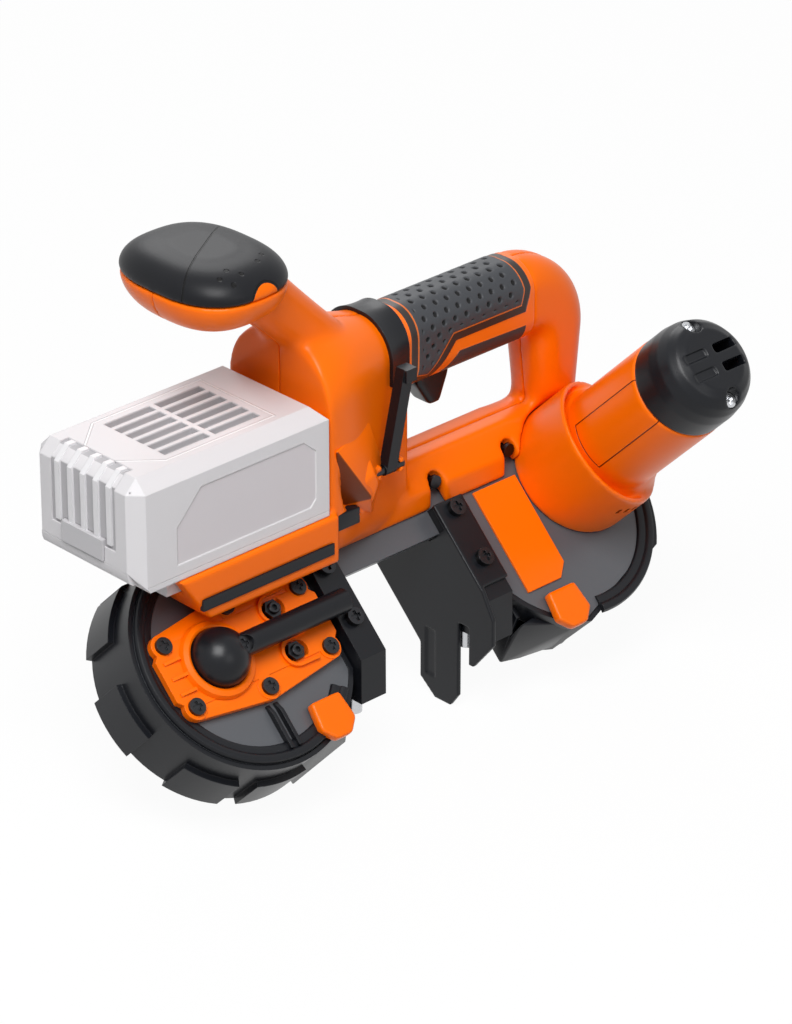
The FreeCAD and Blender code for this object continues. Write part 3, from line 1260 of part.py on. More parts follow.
def trigger_slot():
    """The slot under the grip that the trigger moves in."""
    half = s.trigger_width / 2 + s.trigger_gap
    rear = s.trigger_x + s.trigger_length + s.trigger_gap * TRIGGER_PLAY_SHARE
    return block((s.trigger_x - s.trigger_gap, rear),
                 (-half, half), (s.grip_height - s.grip_depth, s.grip_height))


# Along and up shares of the cheek's outer and inner outlines
CHEEK_OUTER_SHARES = ((0.42, 0.40), (0.68, 0.46), (0.76, 0.34), (0.58, 0.1), (0.46, 0.08))
CHEEK_INNER_SHARES = ((0.0, 0.78), (0.70, 1.0), (1.0, 0.45), (0.86, 0.04), (0.27, 0.0))


def cheek_form():
    """The faceted cheek low on the near side of the tower."""
    wires = []
    for shares, depth in ((CHEEK_OUTER_SHARES, s.foot_half_width), (CHEEK_INNER_SHARES, s.cheek_root)):
        corners = [Vec(s.cheek_x + s.cheek_length * a, -depth, s.cheek_low + s.cheek_height * b)
                   for a, b in shares]
        wires.append(Part.makePolygon(corners + corners[:1]))
    return feature(Part.makeLoft(wires, True, True), "cheek")


def handle_shells():
    """The two orange shells, the rubber on the grip and the screws that join them."""
    margin = as_size(0)
    outer = fuse(bar_form(), foot_form(), tower_form(margin, margin, s.bar_low), loop_form(margin),
                 cheek_form(), arm_form(),
                 knob_form(KNOB_SHELL_SHARES, s.knob_rim - s.knob_shell_height, s.knob_rim))
    ears, ear_room, ear_bore = clevis_form()
    wall = s.shell_wall
    tower_room = tower_form(-wall, wall, s.bar_top + wall)
    grip_room = loop_form(-wall)
    sleeve = cut(grip_slice(s.rubber_proud, s.rubber_front, s.rubber_rear),
                 grip_slice(s.rubber_proud - s.rubber_thickness, s.rubber_front, s.rubber_rear))
    screws, pockets = zip(*[shell_screw(*place) for place in shell_screw_places()])
    pin_hole = rod_y(s.trigger_pin_radius + s.fit, -trigger_pin_reach(), trigger_pin_reach(),
                     *trigger_pin_place())
    body = cut(fuse(outer, ears), *keep_out(), tower_room, grip_room, sleeve, trigger_slot(),
               ear_room, ear_bore, pin_hole, *pockets)
    far = 2 * s.wheel_spacing
    near_half = block((-far, far), (-far, as_size(0)), (-far, far))
    far_half = block((-far, far), (as_size(0), far), (-far, far))
    node("housing_left", common(body, near_half), "handle")
    node("housing_right", common(body, far_half), "handle")
    node("grip_rubber", cut(sleeve, trigger_slot()), "handle")
    node("housing_screws", fuse(*screws), "handle")
    node("knob_cap", knob_form(KNOB_CAP_SHARES, s.knob_rim, s.knob_rim + s.knob_cap_height), "handle")
    node("foot_strip", strip_form(s.fit), "handle")


def trigger_pin_place():
    """The trigger's pivot, along the saw and in height."""
    height = s.grip_height - s.grip_depth / 2 + 2 * s.shell_wall
    return s.trigger_x + s.trigger_pin_radius * TRIGGER_PIN_SHARE, height


def trigger_pin_reach():
    """How far the pivot pin goes into the shell walls on each side."""
    return s.trigger_pin_half


TRIGGER_SHARES = ((0.0, 0.0), (1.0, 0.0), (1.0, 0.45), (0.75, 1.0), (0.45, 1.0), (0.08, 0.5))


def trigger():
    """The trigger blade under the grip, hung on its pin."""
    pin_x, pin_z = trigger_pin_place()
    top = pin_z + 2 * s.trigger_pin_radius
    drop = s.trigger_drop + s.shell_wall
    points = [(s.trigger_x + s.trigger_length * a, top - drop * b) for a, b in TRIGGER_SHARES]
    body = padded(list(reversed(points)), "XZ_Plane", -s.trigger_width / 2, s.trigger_width)
    bore = rod_y(s.trigger_pin_radius + s.fit, -s.trigger_width, s.trigger_width, pin_x, pin_z)
    return cut(body, bore)


def tower_band():
    """The black band round the top of the tower."""
    gap = s.fit
    low = s.belt_low
    skin = cut(tower_form(s.band_thickness, as_size(0), s.bar_low), tower_form(gap, as_size(0), s.bar_low))
    half = s.belt_width / 2
    slab = block((s.belt_x - half, s.belt_x + half), (-s.foot_half_width, s.foot_half_width),
                 (low, s.tower_top + s.overrun))
    x, _ = hook_places()
    ears, _, _ = clevis_form()
    hook_way = block((x - s.hook_width, s.belt_x + s.hook_width),
                     (-s.foot_half_width, -s.hook_y + s.seat_gap), (low, s.hook_top + s.overrun))
    grip_way = grip_slice(gap, s.grip_start - gap, s.rubber_front)
    return cut(common(skin, slab), ears, hook_way, grip_way)


HOOK_TAB_SHARE = 0.25


def hang_hook():
    """The fold out hook bar on the near side, with a bent finger tab at its top."""
    x, z = hook_places()
    half = s.hook_width / 2
    near = -s.hook_y - s.hook_thickness
    side = [(x - half, z), (x + half, z), (x + s.hook_lean + half, s.hook_top),
            (x + s.hook_lean - half, s.hook_top)]
    bar = padded(side, "XZ_Plane", s.hook_y, s.hook_thickness)
    eye = rod_x(s.hook_thickness / 2, x - half, x + half, -s.hook_y - s.hook_thickness / 2, z)
    tab = block((x + s.hook_lean - half, x + s.hook_lean + half),
                (near - s.hook_thickness * HOOK_TAB_SHARE, -s.hook_y),
                (s.hook_top - s.hook_width, s.hook_top))
    bore = rod_x(s.hook_pin_radius + s.fit, x - s.hook_width, x + s.hook_width,
                 -s.hook_y - s.hook_thickness / 2, z)
    return cut(fuse(bar, eye, tab), bore)


def hook_pin():
    """The pin that the hook swings on."""
    x, z = hook_places()
    half = clevis_half() + 2 * s.hook_pin_radius
    return rod_x(s.hook_pin_radius, x - half, x + half, -s.hook_y - s.hook_thickness / 2, z)


SWITCH_PLACE_SHARE = 0.25


def handle_inner_parts():
    """Trigger, switch, controller, battery contacts, band and hook."""
    node("trigger", trigger(), "handle")
    reach = trigger_pin_reach() - s.fit
    node("trigger_pin", rod_y(s.trigger_pin_radius, -reach, reach, *trigger_pin_place()), "handle")
    roof = s.grip_height + s.grip_depth / 2 - s.shell_wall - s.switch_drop
    half = s.switch_width / 2
    switch_x = s.trigger_x + s.trigger_length * SWITCH_PLACE_SHARE
    node("switch_body", block((switch_x, switch_x + s.switch_length), (-half, half),
                              (roof - s.switch_height, roof)), "handle")
    board_x = s.tower_front + s.shell_wall + s.seat_gap
    side = s.board_width / 2
    node("controller_board", block((board_x, board_x + s.board_thickness), (-side, side),
                                   (s.board_height, s.board_height + s.board_length)), "handle")
    node("terminal_block", terminal_block(), "handle")
    node("tower_band", tower_band(), "handle")
    node("hang_hook", hang_hook(), "handle")
    node("hook_pin", hook_pin(), "handle")


CONTACT_SHARES = (-1.5, -0.5, 0.5, 1.5)


def contact(share, grow):
    """One battery contact blade, or its slot in the battery."""
    y = s.contact_pitch * share
    high = s.foot_floor + s.block_height
    root = s.tower_front - s.block_thickness
    return block((root - s.contact_length - grow, root + grow),
                 (y - s.contact_thickness / 2 - grow, y + s.contact_thickness / 2 + grow),
                 (high - s.contact_height - grow, high + grow))


def terminal_block():
    """The contact block at the rear end of the battery channel."""
    half = s.block_width / 2
    back = block((s.tower_front - s.block_thickness, s.tower_front), (-half, half),
                 (s.foot_floor, s.foot_floor + s.block_height + s.overrun))
    return fuse(back, *[contact(share, as_size(0)) for share in CONTACT_SHARES])


def battery_parts():
    """The battery: case, base with its tongue, cells and release button."""
    side = s.pack_half_width
    split = s.pack_low + s.shell_wall
    rear = s.tower_front - s.block_thickness - s.seat_gap
    base = block((-s.pack_front, rear), (-side, side), (s.pack_low, split))
    tongue = block((-s.foot_front, rear), (-s.tongue_half_width, s.tongue_half_width),
                   (s.tongue_low, s.pack_low + s.fit))
    slots = [contact(share, s.trigger_gap) for share in CONTACT_SHARES]
    node("battery_base", cut(fuse(base, tongue), *slots, nose_form()), "handle")
    outer = block((-s.pack_front, rear), (-side, side), (split, s.pack_top))
    chamfered = bevelled(outer, s.pack_chamfer)
    wall = s.pack_wall
    room = block((-s.pack_front + wall, rear - wall), (-side + wall + s.pack_chamfer / 2,
                                                       side - wall - s.pack_chamfer / 2),
                 (split - s.overrun, s.pack_top - wall - s.pack_chamfer / 2))
    window = button_form(s.seat_gap)
    node("battery_case", cut(chamfered, room, window, nose_form()), "handle")
    node("battery_cells", battery_cells(split), "handle")
    node("battery_release_button", button_form(as_size(0)), "handle")


def nose_form():
    """The wedge that is cut away under the nose of the battery."""
    front = -s.pack_front - s.overrun
    low = s.pack_low - s.overrun
    points = [(front, low), (-s.pack_front + s.nose_length, low),
              (-s.pack_front, s.pack_low + s.nose_height),
              (front, s.pack_low + s.nose_height)]
    return padded(points, "XZ_Plane", -s.foot_half_width, 2 * s.foot_half_width)


def bevelled(base, size):
    """Cut the long top edges and the upright front edges of the battery at an angle."""
    doc.recompute()
    top = base.Shape.BoundBox.ZMax
    front = base.Shape.BoundBox.XMin
    obj = doc.addObject("Part::Chamfer", "bevelled")
    obj.Base = base
    chosen = []
    for number, edge in enumerate(base.Shape.Edges, start=1):
        middle = edge.CenterOfMass
        on_top = abs(middle.z - top) < s.fit.value
        on_front = abs(middle.x - front) < s.fit.value and along(edge, Z_AXIS)
        if on_top or on_front:
            chosen.append((number, float(size), float(size)))
    obj.Edges = chosen
    return obj


BUTTON_TRAVEL_SHARE = 4.0


def button_form(gap):
    """The release button at the front of the battery, or its window."""
    half = s.button_width / 2 + gap
    split = s.pack_low + s.shell_wall
    low = split + s.button_lift
    proud = s.pack_front + s.button_proud
    back = -proud + s.button_depth
    return block((-proud, back + gap * BUTTON_TRAVEL_SHARE), (-half, half),
                 (low - gap, low + s.button_height + gap))


CELL_COLUMNS = 5
CELL_ROWS = 2


def battery_cells(floor):
    """Two rows of cylindrical cells that lie across the battery."""
    cells = []
    half = s.cell_length / 2
    for row in range(CELL_ROWS):
        for column in range(CELL_COLUMNS):
            x = s.cell_pitch * (column - (CELL_COLUMNS - 1) / 2)
            z = floor + s.cell_radius + s.fit + s.cell_pitch * row
            cells.append(rod_y(s.cell_radius, -half, half, x, z))
    return fuse(*cells)


def build():
    """Make every sub-part."""
    node("frame_casting", frame_casting(), "band")
    node("blade_cover", blade_cover(), "band")
    drive_parts()
    idler_parts()
    node("tension_plate", tension_plate(), "band")
    node("tension_plate_screws", fuse(*[
        screw(x, y, s.plate_thickness, s.plate_screw_radius, s.plate_head_radius,
              s.plate_head_height, s.plate_thickness + s.plate_screw_depth - s.seat_gap)
        for x, y in plate_screw_places()]), "band")
    node("tension_lever", tension_lever(), "band")
    node("lever_screw", screw(-s.lever_screw_x, as_size(0), s.lever_screw_low, s.plate_screw_radius,
                              s.lever_screw_radius, s.lever_screw_height,
                              s.plate_screw_depth - s.seat_gap), "band")
    node("front_guide_bracket", guide_bracket(s.guide_front_x), "band")
    node("rear_guide_bracket", guide_bracket(guide_rear_x), "band")
    pins = guide_rollers("front", s.guide_front_x) + guide_rollers("rear", guide_rear_x)
    node("guide_pins", fuse(*pins), "tool")
    node("guide_screws", fuse(
        guide_screws(s.guide_front_x, s.guide_pad_height),
        guide_screws(guide_rear_x, s.guide_pad_height + s.stop_thickness)), "band")
    node("work_stop", work_stop(), "band")
    for label, x, side in zip(("front_cover_latch", "rear_cover_latch"), latch_places(), (1, -1)):
        node(label, cover_latch(x, side), "band")
    node("label_plate", label_plate(), "band")
    motor_parts()
    handle_shells()
    handle_inner_parts()
    battery_parts()


def check_and_write():
    """Check every object and each sub-part's shape, then write one file per sub-part."""
    doc.recompute()
    for obj in doc.Objects:
        if "Invalid" in obj.State or "Error" in obj.State:
            raise RuntimeError("%s (%s) is not built: %s" % (obj.Name, obj.Label, obj.State))
    for obj in NODES:
        if obj.Shape.isNull() or not obj.Shape.isValid() or not obj.Shape.Solids:
            raise RuntimeError("%s has no sound solid" % obj.Label)
    os.makedirs("parts", exist_ok=True)
    for obj in NODES:
        obj.Shape.exportStep(os.path.join("parts", obj.Label + ".step"))
    print("%d sub-parts written" % len(NODES))


build()
check_and_write()
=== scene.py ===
"""Looks of the portable band saw: finishes, moulded skins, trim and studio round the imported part."""
import json
import logging
import math
from dataclasses import dataclass
from enum import Enum
from functools import reduce
from typing import Any, Callable, Sequence

import bmesh
import bpy
import numpy as np
from mathutils import Matrix, Vector


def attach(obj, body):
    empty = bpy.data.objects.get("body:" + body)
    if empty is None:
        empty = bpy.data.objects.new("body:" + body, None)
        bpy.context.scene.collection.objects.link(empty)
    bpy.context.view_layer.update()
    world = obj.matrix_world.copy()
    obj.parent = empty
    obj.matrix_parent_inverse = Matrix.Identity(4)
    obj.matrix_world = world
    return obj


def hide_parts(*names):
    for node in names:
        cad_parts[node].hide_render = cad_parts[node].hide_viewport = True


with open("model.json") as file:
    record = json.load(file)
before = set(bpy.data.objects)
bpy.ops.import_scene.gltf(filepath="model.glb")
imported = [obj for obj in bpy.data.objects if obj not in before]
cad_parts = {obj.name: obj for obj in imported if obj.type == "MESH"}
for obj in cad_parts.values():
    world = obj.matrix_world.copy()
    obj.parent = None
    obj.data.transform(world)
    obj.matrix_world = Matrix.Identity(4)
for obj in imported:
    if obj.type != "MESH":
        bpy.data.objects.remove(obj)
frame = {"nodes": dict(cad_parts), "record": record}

LOG = logging.getLogger("band_saw")
MM = 0.001
Colour = tuple[float, float, float]
Point = tuple[float, float, float]
Outline = tuple[tuple[float, float], ...]
Obj, Mesh = bpy.types.Object, bpy.types.Mesh
Material, Node, Socket = bpy.types.Material, bpy.types.Node, bpy.types.NodeSocket
WHITE = (1.0, 1.0, 1.0)
HALF_ROOT = math.sqrt(0.5)

# Angles in degrees past which an edge is shaded sharp
CREASE = 32.0
SKIN_CREASE = 50.0
ROUND_CREASE = 40.0
HULL_CREASE = 25.0
CASE_CREASE = 12.0

# Zero of the wheel frame and of the handle frame in the part's own frame, in millimetres
WHEEL_ZERO = Vector((-140.0, 11.28, 54.40))
HANDLE_ZERO = Vector((-140.0, 49.28, 54.40))
TILT = math.radians(45.0)


def handle_point(x: float, y: float, z: float) -> Vector:
    """Turn a place in the handle frame, in millimetres, into metres in the part's frame."""
    return (HANDLE_ZERO + Vector((x, y, z))) * MM


def band_point(x: float, y: float, z: float) -> Vector:
    """Turn a place in the tilted wheel frame, in millimetres, into metres in the part's frame."""
    return (WHEEL_ZERO + Matrix.Rotation(TILT, 3, "X") @ Vector((x, y, z))) * MM


def across_handle(x: float, z: float, y: float) -> Vector:
    """A place in the handle frame with its height before its place across."""
    return handle_point(x, y, z)


class Value:
    """A shader value with Python operators, each of which adds a Math node."""

    def __init__(self, shader: "Shader", socket: Socket) -> None:
        """Keep the socket and the shader that it belongs to."""
        self.shader = shader
        self.socket = socket

    def _math(self, operation: str, *others: Any) -> "Value":
        """Add one Math node on this value and further numbers or values."""
        return self.shader.math(operation, self, *others)

    def __add__(self, other: Any) -> "Value":
        """This value plus another."""
        return self._math("ADD", other)

    __radd__ = __add__

    def __sub__(self, other: Any) -> "Value":
        """This value minus another."""
        return self._math("SUBTRACT", other)

    def __rsub__(self, other: Any) -> "Value":
        """Another minus this value."""
        return self.shader.math("SUBTRACT", other, self)

    def __mul__(self, other: Any) -> "Value":
        """This value times another."""
        return self._math("MULTIPLY", other)

    __rmul__ = __mul__

    def __truediv__(self, other: Any) -> "Value":
        """This value over another."""
        return self._math("DIVIDE", other)

    def above(self, edge: float, soft: float) -> "Value":
        """A mask that rises from 0 to 1 round an edge, over a soft width on each side."""
        return self.shader.ramp(self, edge - soft, edge + soft)

    def below(self, edge: float, soft: float) -> "Value":
        """A mask that falls from 1 to 0 round an edge."""
        return 1 - self.above(edge, soft)

    def size(self) -> "Value":
        """The value without its sign."""
        return self._math("ABSOLUTE")

    def least(self, other: Any) -> "Value":
        """The smaller of two values."""
        return self._math("MINIMUM", other)

    def most(self, other: Any) -> "Value":
        """The larger of two values."""
        return self._math("MAXIMUM", other)

    def wrapped(self, period: float) -> "Value":
        """The value wrapped into half a period on each side of zero."""
        return self._math("WRAP", period / 2, -period / 2)


class Shader:
    """The node tree of a material or a world, with every node made through one method."""

    def __init__(self, name: str, shelf: Any = None) -> None:
        """Start an empty tree.

        Args:
            name: the name of the material or the world.
            shelf: where it is made, among the materials if nothing is given.
        """
        self.owner = (bpy.data.materials if shelf is None else shelf).new(name)
        self.owner.use_nodes = True
        self.tree = self.owner.node_tree
        self.tree.nodes.clear()
        self._place: list[Value] | None = None

    def node(self, kind: str, settings: dict[str, Any] | None = None,
             inputs: dict[Any, Any] | None = None) -> Node:
        """Add a node.

        Args:
            kind: the node's type.
            settings: properties that are set first; "stops" holds a ramp's stops.
            inputs: socket names or numbers, each with a number, a colour, a value or a socket.

        Returns:
            The new node.
        """
        made = self.tree.nodes.new(kind)
        for key, value in (settings or {}).items():
            if key == "stops":
                while len(made.color_ramp.elements) < len(value):
                    made.color_ramp.elements.new(0.5)
                for element, (place, colour) in zip(made.color_ramp.elements, value):
                    element.position = place
                    element.color = (*colour, 1.0)
            else:
                setattr(made, key, value)
        for key, value in (inputs or {}).items():
            socket = made.inputs[key]
            if isinstance(value, Value):
                value = value.socket
            if isinstance(value, Socket):
                self.tree.links.new(value, socket)
            elif isinstance(value, tuple) and len(value) == 3 and socket.type == "RGBA":
                socket.default_value = (*value, 1.0)
            else:
                socket.default_value = value
        return made

    def math(self, operation: str, *operands: Any) -> Value:
        """Add a Math node on numbers and values."""
        made = self.node("ShaderNodeMath", {"operation": operation}, dict(enumerate(operands)))
        return Value(self, made.outputs[0])

    def ramp(self, value: Value, low: float, high: float) -> Value:
        """A smooth step from 0 at low to 1 at high."""
        made = self.node("ShaderNodeMapRange", {"interpolation_type": "SMOOTHSTEP"},
                         {"Value": value, "From Min": low, "From Max": high})
        return Value(self, made.outputs["Result"])

    def place(self) -> list[Value]:
        """The surface point's x, y and z in millimetres of the part's frame."""
        if self._place is None:
            coords = self.node("ShaderNodeTexCoord").outputs["Object"]
            split = self.node("ShaderNodeSeparateXYZ", inputs={0: coords})
            self._place = [Value(self, out) / MM for out in split.outputs]
        return self._place

    def handle_place(self) -> list[Value]:
        """The surface point's x, y and z in millimetres of the handle frame."""
        return [value - zero for value, zero in zip(self.place(), HANDLE_ZERO)]

    def length(self, u: Value, v: Value) -> Value:
        """The length of a way with two parts that are square to each other."""
        return self.math("SQRT", u * u + v * v)

    def noise(self, scale: float, detail: float = 2.0) -> Value:
        """Noise in object space, from 0 to 1, with some cells in each metre and some octaves."""
        coords = self.node("ShaderNodeTexCoord").outputs["Object"]
        made = self.node("ShaderNodeTexNoise", inputs={"Vector": coords, "Scale": scale, "Detail": detail})
        return Value(self, made.outputs[0])

    def mix(self, share: Any, first: Any, second: Any) -> Socket:
        """Mix two colours by a share of the second."""
        made = self.node("ShaderNodeMix", {"data_type": "RGBA"}, {0: share, 6: first, 7: second})
        return made.outputs[2]

    def rounded_normal(self, radius: float) -> Socket:
        """Normals that round sharp edges over a radius in millimetres."""
        return self.node("ShaderNodeBevel", {"samples": 4}, {"Radius": radius * MM}).outputs[0]

    def bump(self, height: Any, depth: float, normal: Socket) -> Socket:
        """Raise a height map by a depth in millimetres over other normals."""
        made = self.node("ShaderNodeBump", inputs={"Strength": 1.0, "Distance": depth * MM,
                                                   "Height": height, "Normal": normal})
        return made.outputs[0]

    def surface(self, **inputs: Any) -> Material:
        """Close the tree with a Principled shader.

        Args:
            inputs: socket names, with underscores for blanks.

        Returns:
            The finished material.
        """
        sockets = {key.replace("_", " "): value for key, value in inputs.items()}
        made = self.node("ShaderNodeBsdfPrincipled", inputs=sockets)
        self.node("ShaderNodeOutputMaterial", inputs={"Surface": made.outputs[0]})
        return self.owner

    def backdrop(self, output: str, share: float, lit: Node, seen: Node) -> None:
        """Close the tree with one shader for light and another for what is seen or mirrored.

        Args:
            output: the type of the output node.
            share: how much of the seen shader is shown.
            lit: the shader that the other rays meet.
            seen: the shader that camera, glossy and transmission rays meet.
        """
        path = self.node("ShaderNodeLightPath")
        rays = [Value(self, path.outputs[f"Is {ray} Ray"])
                for ray in ("Camera", "Glossy", "Transmission")]
        mix = self.node("ShaderNodeMixShader", inputs={0: reduce(Value.most, rays) * share,
                                                       1: lit.outputs[0], 2: seen.outputs[0]})
        self.node(output, inputs={"Surface": mix.outputs[0]})


def scaled(colour: Colour, share: float) -> Colour:
    """A colour times a share, held to white."""
    return tuple(min(1.0, part * share) for part in colour)


@dataclass(frozen=True)
class Moulded:
    """A moulded plastic with a fine grain and a faint change of tone."""

    name: str
    colour: Colour
    roughness: float = 0.42
    grain: float = 0.02
    grain_scale: float = 1400.0
    edge: float = 0.5
    tone: float = 0.06
    shine: float = 0.4
    spread: float = 0.1

    def material(self) -> Material:
        """Build the material."""
        shader = Shader(self.name)
        drift = shader.noise(9.0, 3.0)
        grain = shader.noise(self.grain_scale, 1.0)
        dark, light = scaled(self.colour, 1 - self.tone), scaled(self.colour, 1 + self.tone)
        normal = shader.bump(grain, self.grain, shader.rounded_normal(self.edge))
        return shader.surface(Base_Color=shader.mix(drift, dark, light),
                              Roughness=self.roughness + self.spread * (drift - 0.5), Normal=normal,
                              Specular_IOR_Level=self.shine)


@dataclass(frozen=True)
class Metal:
    """A bare or plated metal with a fine tooling texture."""

    name: str
    colour: Colour
    roughness: float
    edge: float = 0.25
    dark: float = 0.86
    scratch_depth: float = 0.006
    spread: float = 0.12

    def material(self) -> Material:
        """Build the material."""
        shader = Shader(self.name)
        scratch = shader.noise(900.0)
        normal = shader.bump(scratch, self.scratch_depth, shader.rounded_normal(self.edge))
        return shader.surface(Base_Color=shader.mix(scratch, scaled(self.colour, self.dark), self.colour),
                              Metallic=1.0, Roughness=self.roughness + self.spread * (scratch - 0.5),
                              Normal=normal)


@dataclass(frozen=True)
class SatinPaint:
    """A satin coat over a casting, with the casting's slight ripple."""

    name: str
    colour: Colour
    roughness: float
    ripple: float = 0.03
    edge: float = 0.6
    dark: float = 0.88
    spread: float = 0.08

    def material(self) -> Material:
        """Build the material."""
        shader = Shader(self.name)
        ripple = shader.noise(520.0)
        drift = shader.noise(14.0)
        normal = shader.bump(ripple, self.ripple, shader.rounded_normal(self.edge))
        return shader.surface(Base_Color=shader.mix(drift, scaled(self.colour, self.dark), self.colour),
                              Roughness=self.roughness + self.spread * (ripple - 0.5), Normal=normal)


class Plain(Enum):
    """The plain finishes of the saw's pieces, each with its values in the order of its class."""

    ORANGE = Moulded("orange_shell", (0.96, 0.158, 0.0), 0.34, 0.012, 1500.0, 0.8, 0.03, 0.22)
    ORANGE_TRIM = Moulded("orange_trim", (0.96, 0.155, 0.0), 0.32, 0.008, 1500.0, 0.6, 0.03, 0.24)
    BLACK = Moulded("black_plastic", (0.0062, 0.007, 0.0095), 0.34, 0.02, 1300.0, 0.6, 0.06, 0.26)
    BLACK_COAT = Moulded("black_coat", (0.0058, 0.0065, 0.0088), 0.31, 0.01, 1700.0, 0.4, 0.06, 0.26)
    RUBBER = Moulded("soft_rubber", (0.009, 0.01, 0.013), 0.46, 0.03, 1200.0, 0.7, 0.06, 0.26)
    FAN = Moulded("fan_plastic", (0.34, 0.018, 0.01), 0.5)
    PACK_BUTTON = Moulded("pack_button", (0.54, 0.53, 0.545), 0.45, 0.01, 1500.0, 0.5, 0.02)
    # Lighter than the pack's pale grey: a painted highlight on the nose ribs
    PACK_RIB_HIGHLIGHT = Moulded("pack_rib_highlight", (0.76, 0.75, 0.765), 0.45, 0.01, 1500.0, 0.5, 0.02)
    BOARD = Moulded("board_green", (0.012, 0.09, 0.03), 0.4)
    GREY = SatinPaint("grey_casting", (0.085, 0.09, 0.1), 0.34)
    STEEL = Metal("bright_steel", (0.62, 0.63, 0.65), 0.26)
    DARK_STEEL = Metal("dark_steel", (0.045, 0.046, 0.05), 0.34)
    ALLOY = Metal("wheel_alloy", (0.55, 0.56, 0.57), 0.4)
    CELL = Metal("cell_steel", (0.35, 0.4, 0.45), 0.4)


FINISH_OF_NODE: dict[str, Plain] = {}
for _finish, _nodes in (
        (Plain.ORANGE, "housing_left housing_right motor_housing"),
        (Plain.ORANGE_TRIM, "label_plate front_cover_latch rear_cover_latch tension_plate"),
        (Plain.GREY, "frame_casting"),
        (Plain.BLACK, "blade_cover motor_cap tower_band switch_body terminal_block"),
        (Plain.RUBBER, "grip_rubber knob_cap foot_strip drive_tyre idler_tyre"),
        (Plain.BLACK_COAT, "work_stop hang_hook tension_lever trigger front_guide_bracket"
                           " rear_guide_bracket"),
        (Plain.STEEL, "drive_shaft drive_bearing drive_gear drive_wheel_nut idler_bearing idler_axle"
                      " front_roller_far front_roller_near front_thrust_roller"
                      " rear_roller_far rear_roller_near rear_thrust_roller guide_pins motor_bearings"
                      " stage_gear motor_cap_screws"),
        (Plain.DARK_STEEL, "tension_plate_screws lever_screw guide_screws"
                           " housing_screws motor_rotor motor_stator tension_carriage tension_studs"
                           " hook_pin trigger_pin"),
        (Plain.ALLOY, "drive_wheel idler_wheel"),
        (Plain.FAN, "cooling_fan motor_end_plate"),
        (Plain.PACK_BUTTON, "battery_release_button battery_case battery_base"),
        (Plain.CELL, "battery_cells"),
        (Plain.BOARD, "controller_board")):
    for _node in _nodes.split():
        FINISH_OF_NODE[_node] = _finish


@dataclass(frozen=True)
class Texture:
    """The fine surface of a finish that has its own drawing."""

    roughness: float
    shine: float
    edge: float
    grain: float
    grain_scale: float
    octaves: float = 2.0
    spread: float = 0.06

    def close(self, shader: Shader, colour: Socket, height: Value, rough: Any = 0.0) -> Material:
        """Close a shader with this surface.

        Args:
            shader: the shader with the drawing.
            colour: the drawing's colour.
            height: the drawing's height, in millimetres.
            rough: what the drawing adds to the roughness.

        Returns:
            The finished material.
        """
        grain = shader.noise(self.grain_scale, self.octaves)
        normal = shader.bump(grain * self.grain + height, 1.0, shader.rounded_normal(self.edge))
        return shader.surface(Base_Color=colour, Roughness=self.roughness + self.spread * grain + rough,
                              Normal=normal, Specular_IOR_Level=self.shine)


def dress(obj: Obj, material: Material) -> None:
    """Give an object one material."""
    obj.data.materials.clear()
    obj.data.materials.append(material)


def smooth_by_angle(obj: Obj, degrees: float = CREASE) -> None:
    """Shade an object's faces smooth, with sharp edges past an angle."""
    mesh = obj.data
    mesh.polygons.foreach_set("use_smooth", np.ones(len(mesh.polygons), dtype=bool))
    mesh.set_sharp_from_angle(angle=math.radians(degrees))


class RowGroup:
    """A Geometry Nodes group that repeats an object's own mesh along a straight row."""

    def __init__(self) -> None:
        """Build the group with its named inputs."""
        self.tree = bpy.data.node_groups.new("repeat_row", "GeometryNodeTree")
        face = self.tree.interface
        face.new_socket("Geometry", in_out="INPUT", socket_type="NodeSocketGeometry")
        self.count = face.new_socket("Count", in_out="INPUT", socket_type="NodeSocketInt").identifier
        self.step = face.new_socket("Step", in_out="INPUT", socket_type="NodeSocketVector").identifier
        self.finish = face.new_socket("Finish", in_out="INPUT",
                                      socket_type="NodeSocketMaterial").identifier
        face.new_socket("Geometry", in_out="OUTPUT", socket_type="NodeSocketGeometry")
        start = self.tree.nodes.new("NodeGroupInput")
        line = self.tree.nodes.new("GeometryNodeMeshLine")
        copies = self.tree.nodes.new("GeometryNodeInstanceOnPoints")
        real = self.tree.nodes.new("GeometryNodeRealizeInstances")
        paint = self.tree.nodes.new("GeometryNodeSetMaterial")
        end = self.tree.nodes.new("NodeGroupOutput")
        for source, target in ((start.outputs["Count"], line.inputs["Count"]),
                               (start.outputs["Step"], line.inputs["Offset"]),
                               (line.outputs[0], copies.inputs["Points"]),
                               (start.outputs["Geometry"], copies.inputs["Instance"]),
                               (copies.outputs[0], real.inputs[0]),
                               (real.outputs[0], paint.inputs["Geometry"]),
                               (start.outputs["Finish"], paint.inputs["Material"]),
                               (paint.outputs[0], end.inputs[0])):
            self.tree.links.new(source, target)

    def repeat(self, obj: Obj, count: int, step: Vector,
               material: Material) -> None:
        """Turn an object's mesh into a row of copies of it.

        Args:
            obj: the object that holds one copy.
            count: how many copies the row has.
            step: the way from one copy to the next, in metres.
            material: the material of the whole row.
        """
        modifier = obj.modifiers.new("row", "NODES")
        modifier.node_group = self.tree
        modifier[self.count] = count
        modifier[self.step] = tuple(step)
        modifier[self.finish] = material
        bake_modifiers(obj)


def bake_modifiers(obj: Obj) -> None:
    """Turn an object's modifiers into plain mesh."""
    bpy.context.view_layer.update()
    shown = obj.evaluated_get(bpy.context.evaluated_depsgraph_get())
    mesh = bpy.data.meshes.new_from_object(shown)
    old = obj.data
    obj.modifiers.clear()
    obj.data = mesh
    bpy.data.meshes.remove(old)


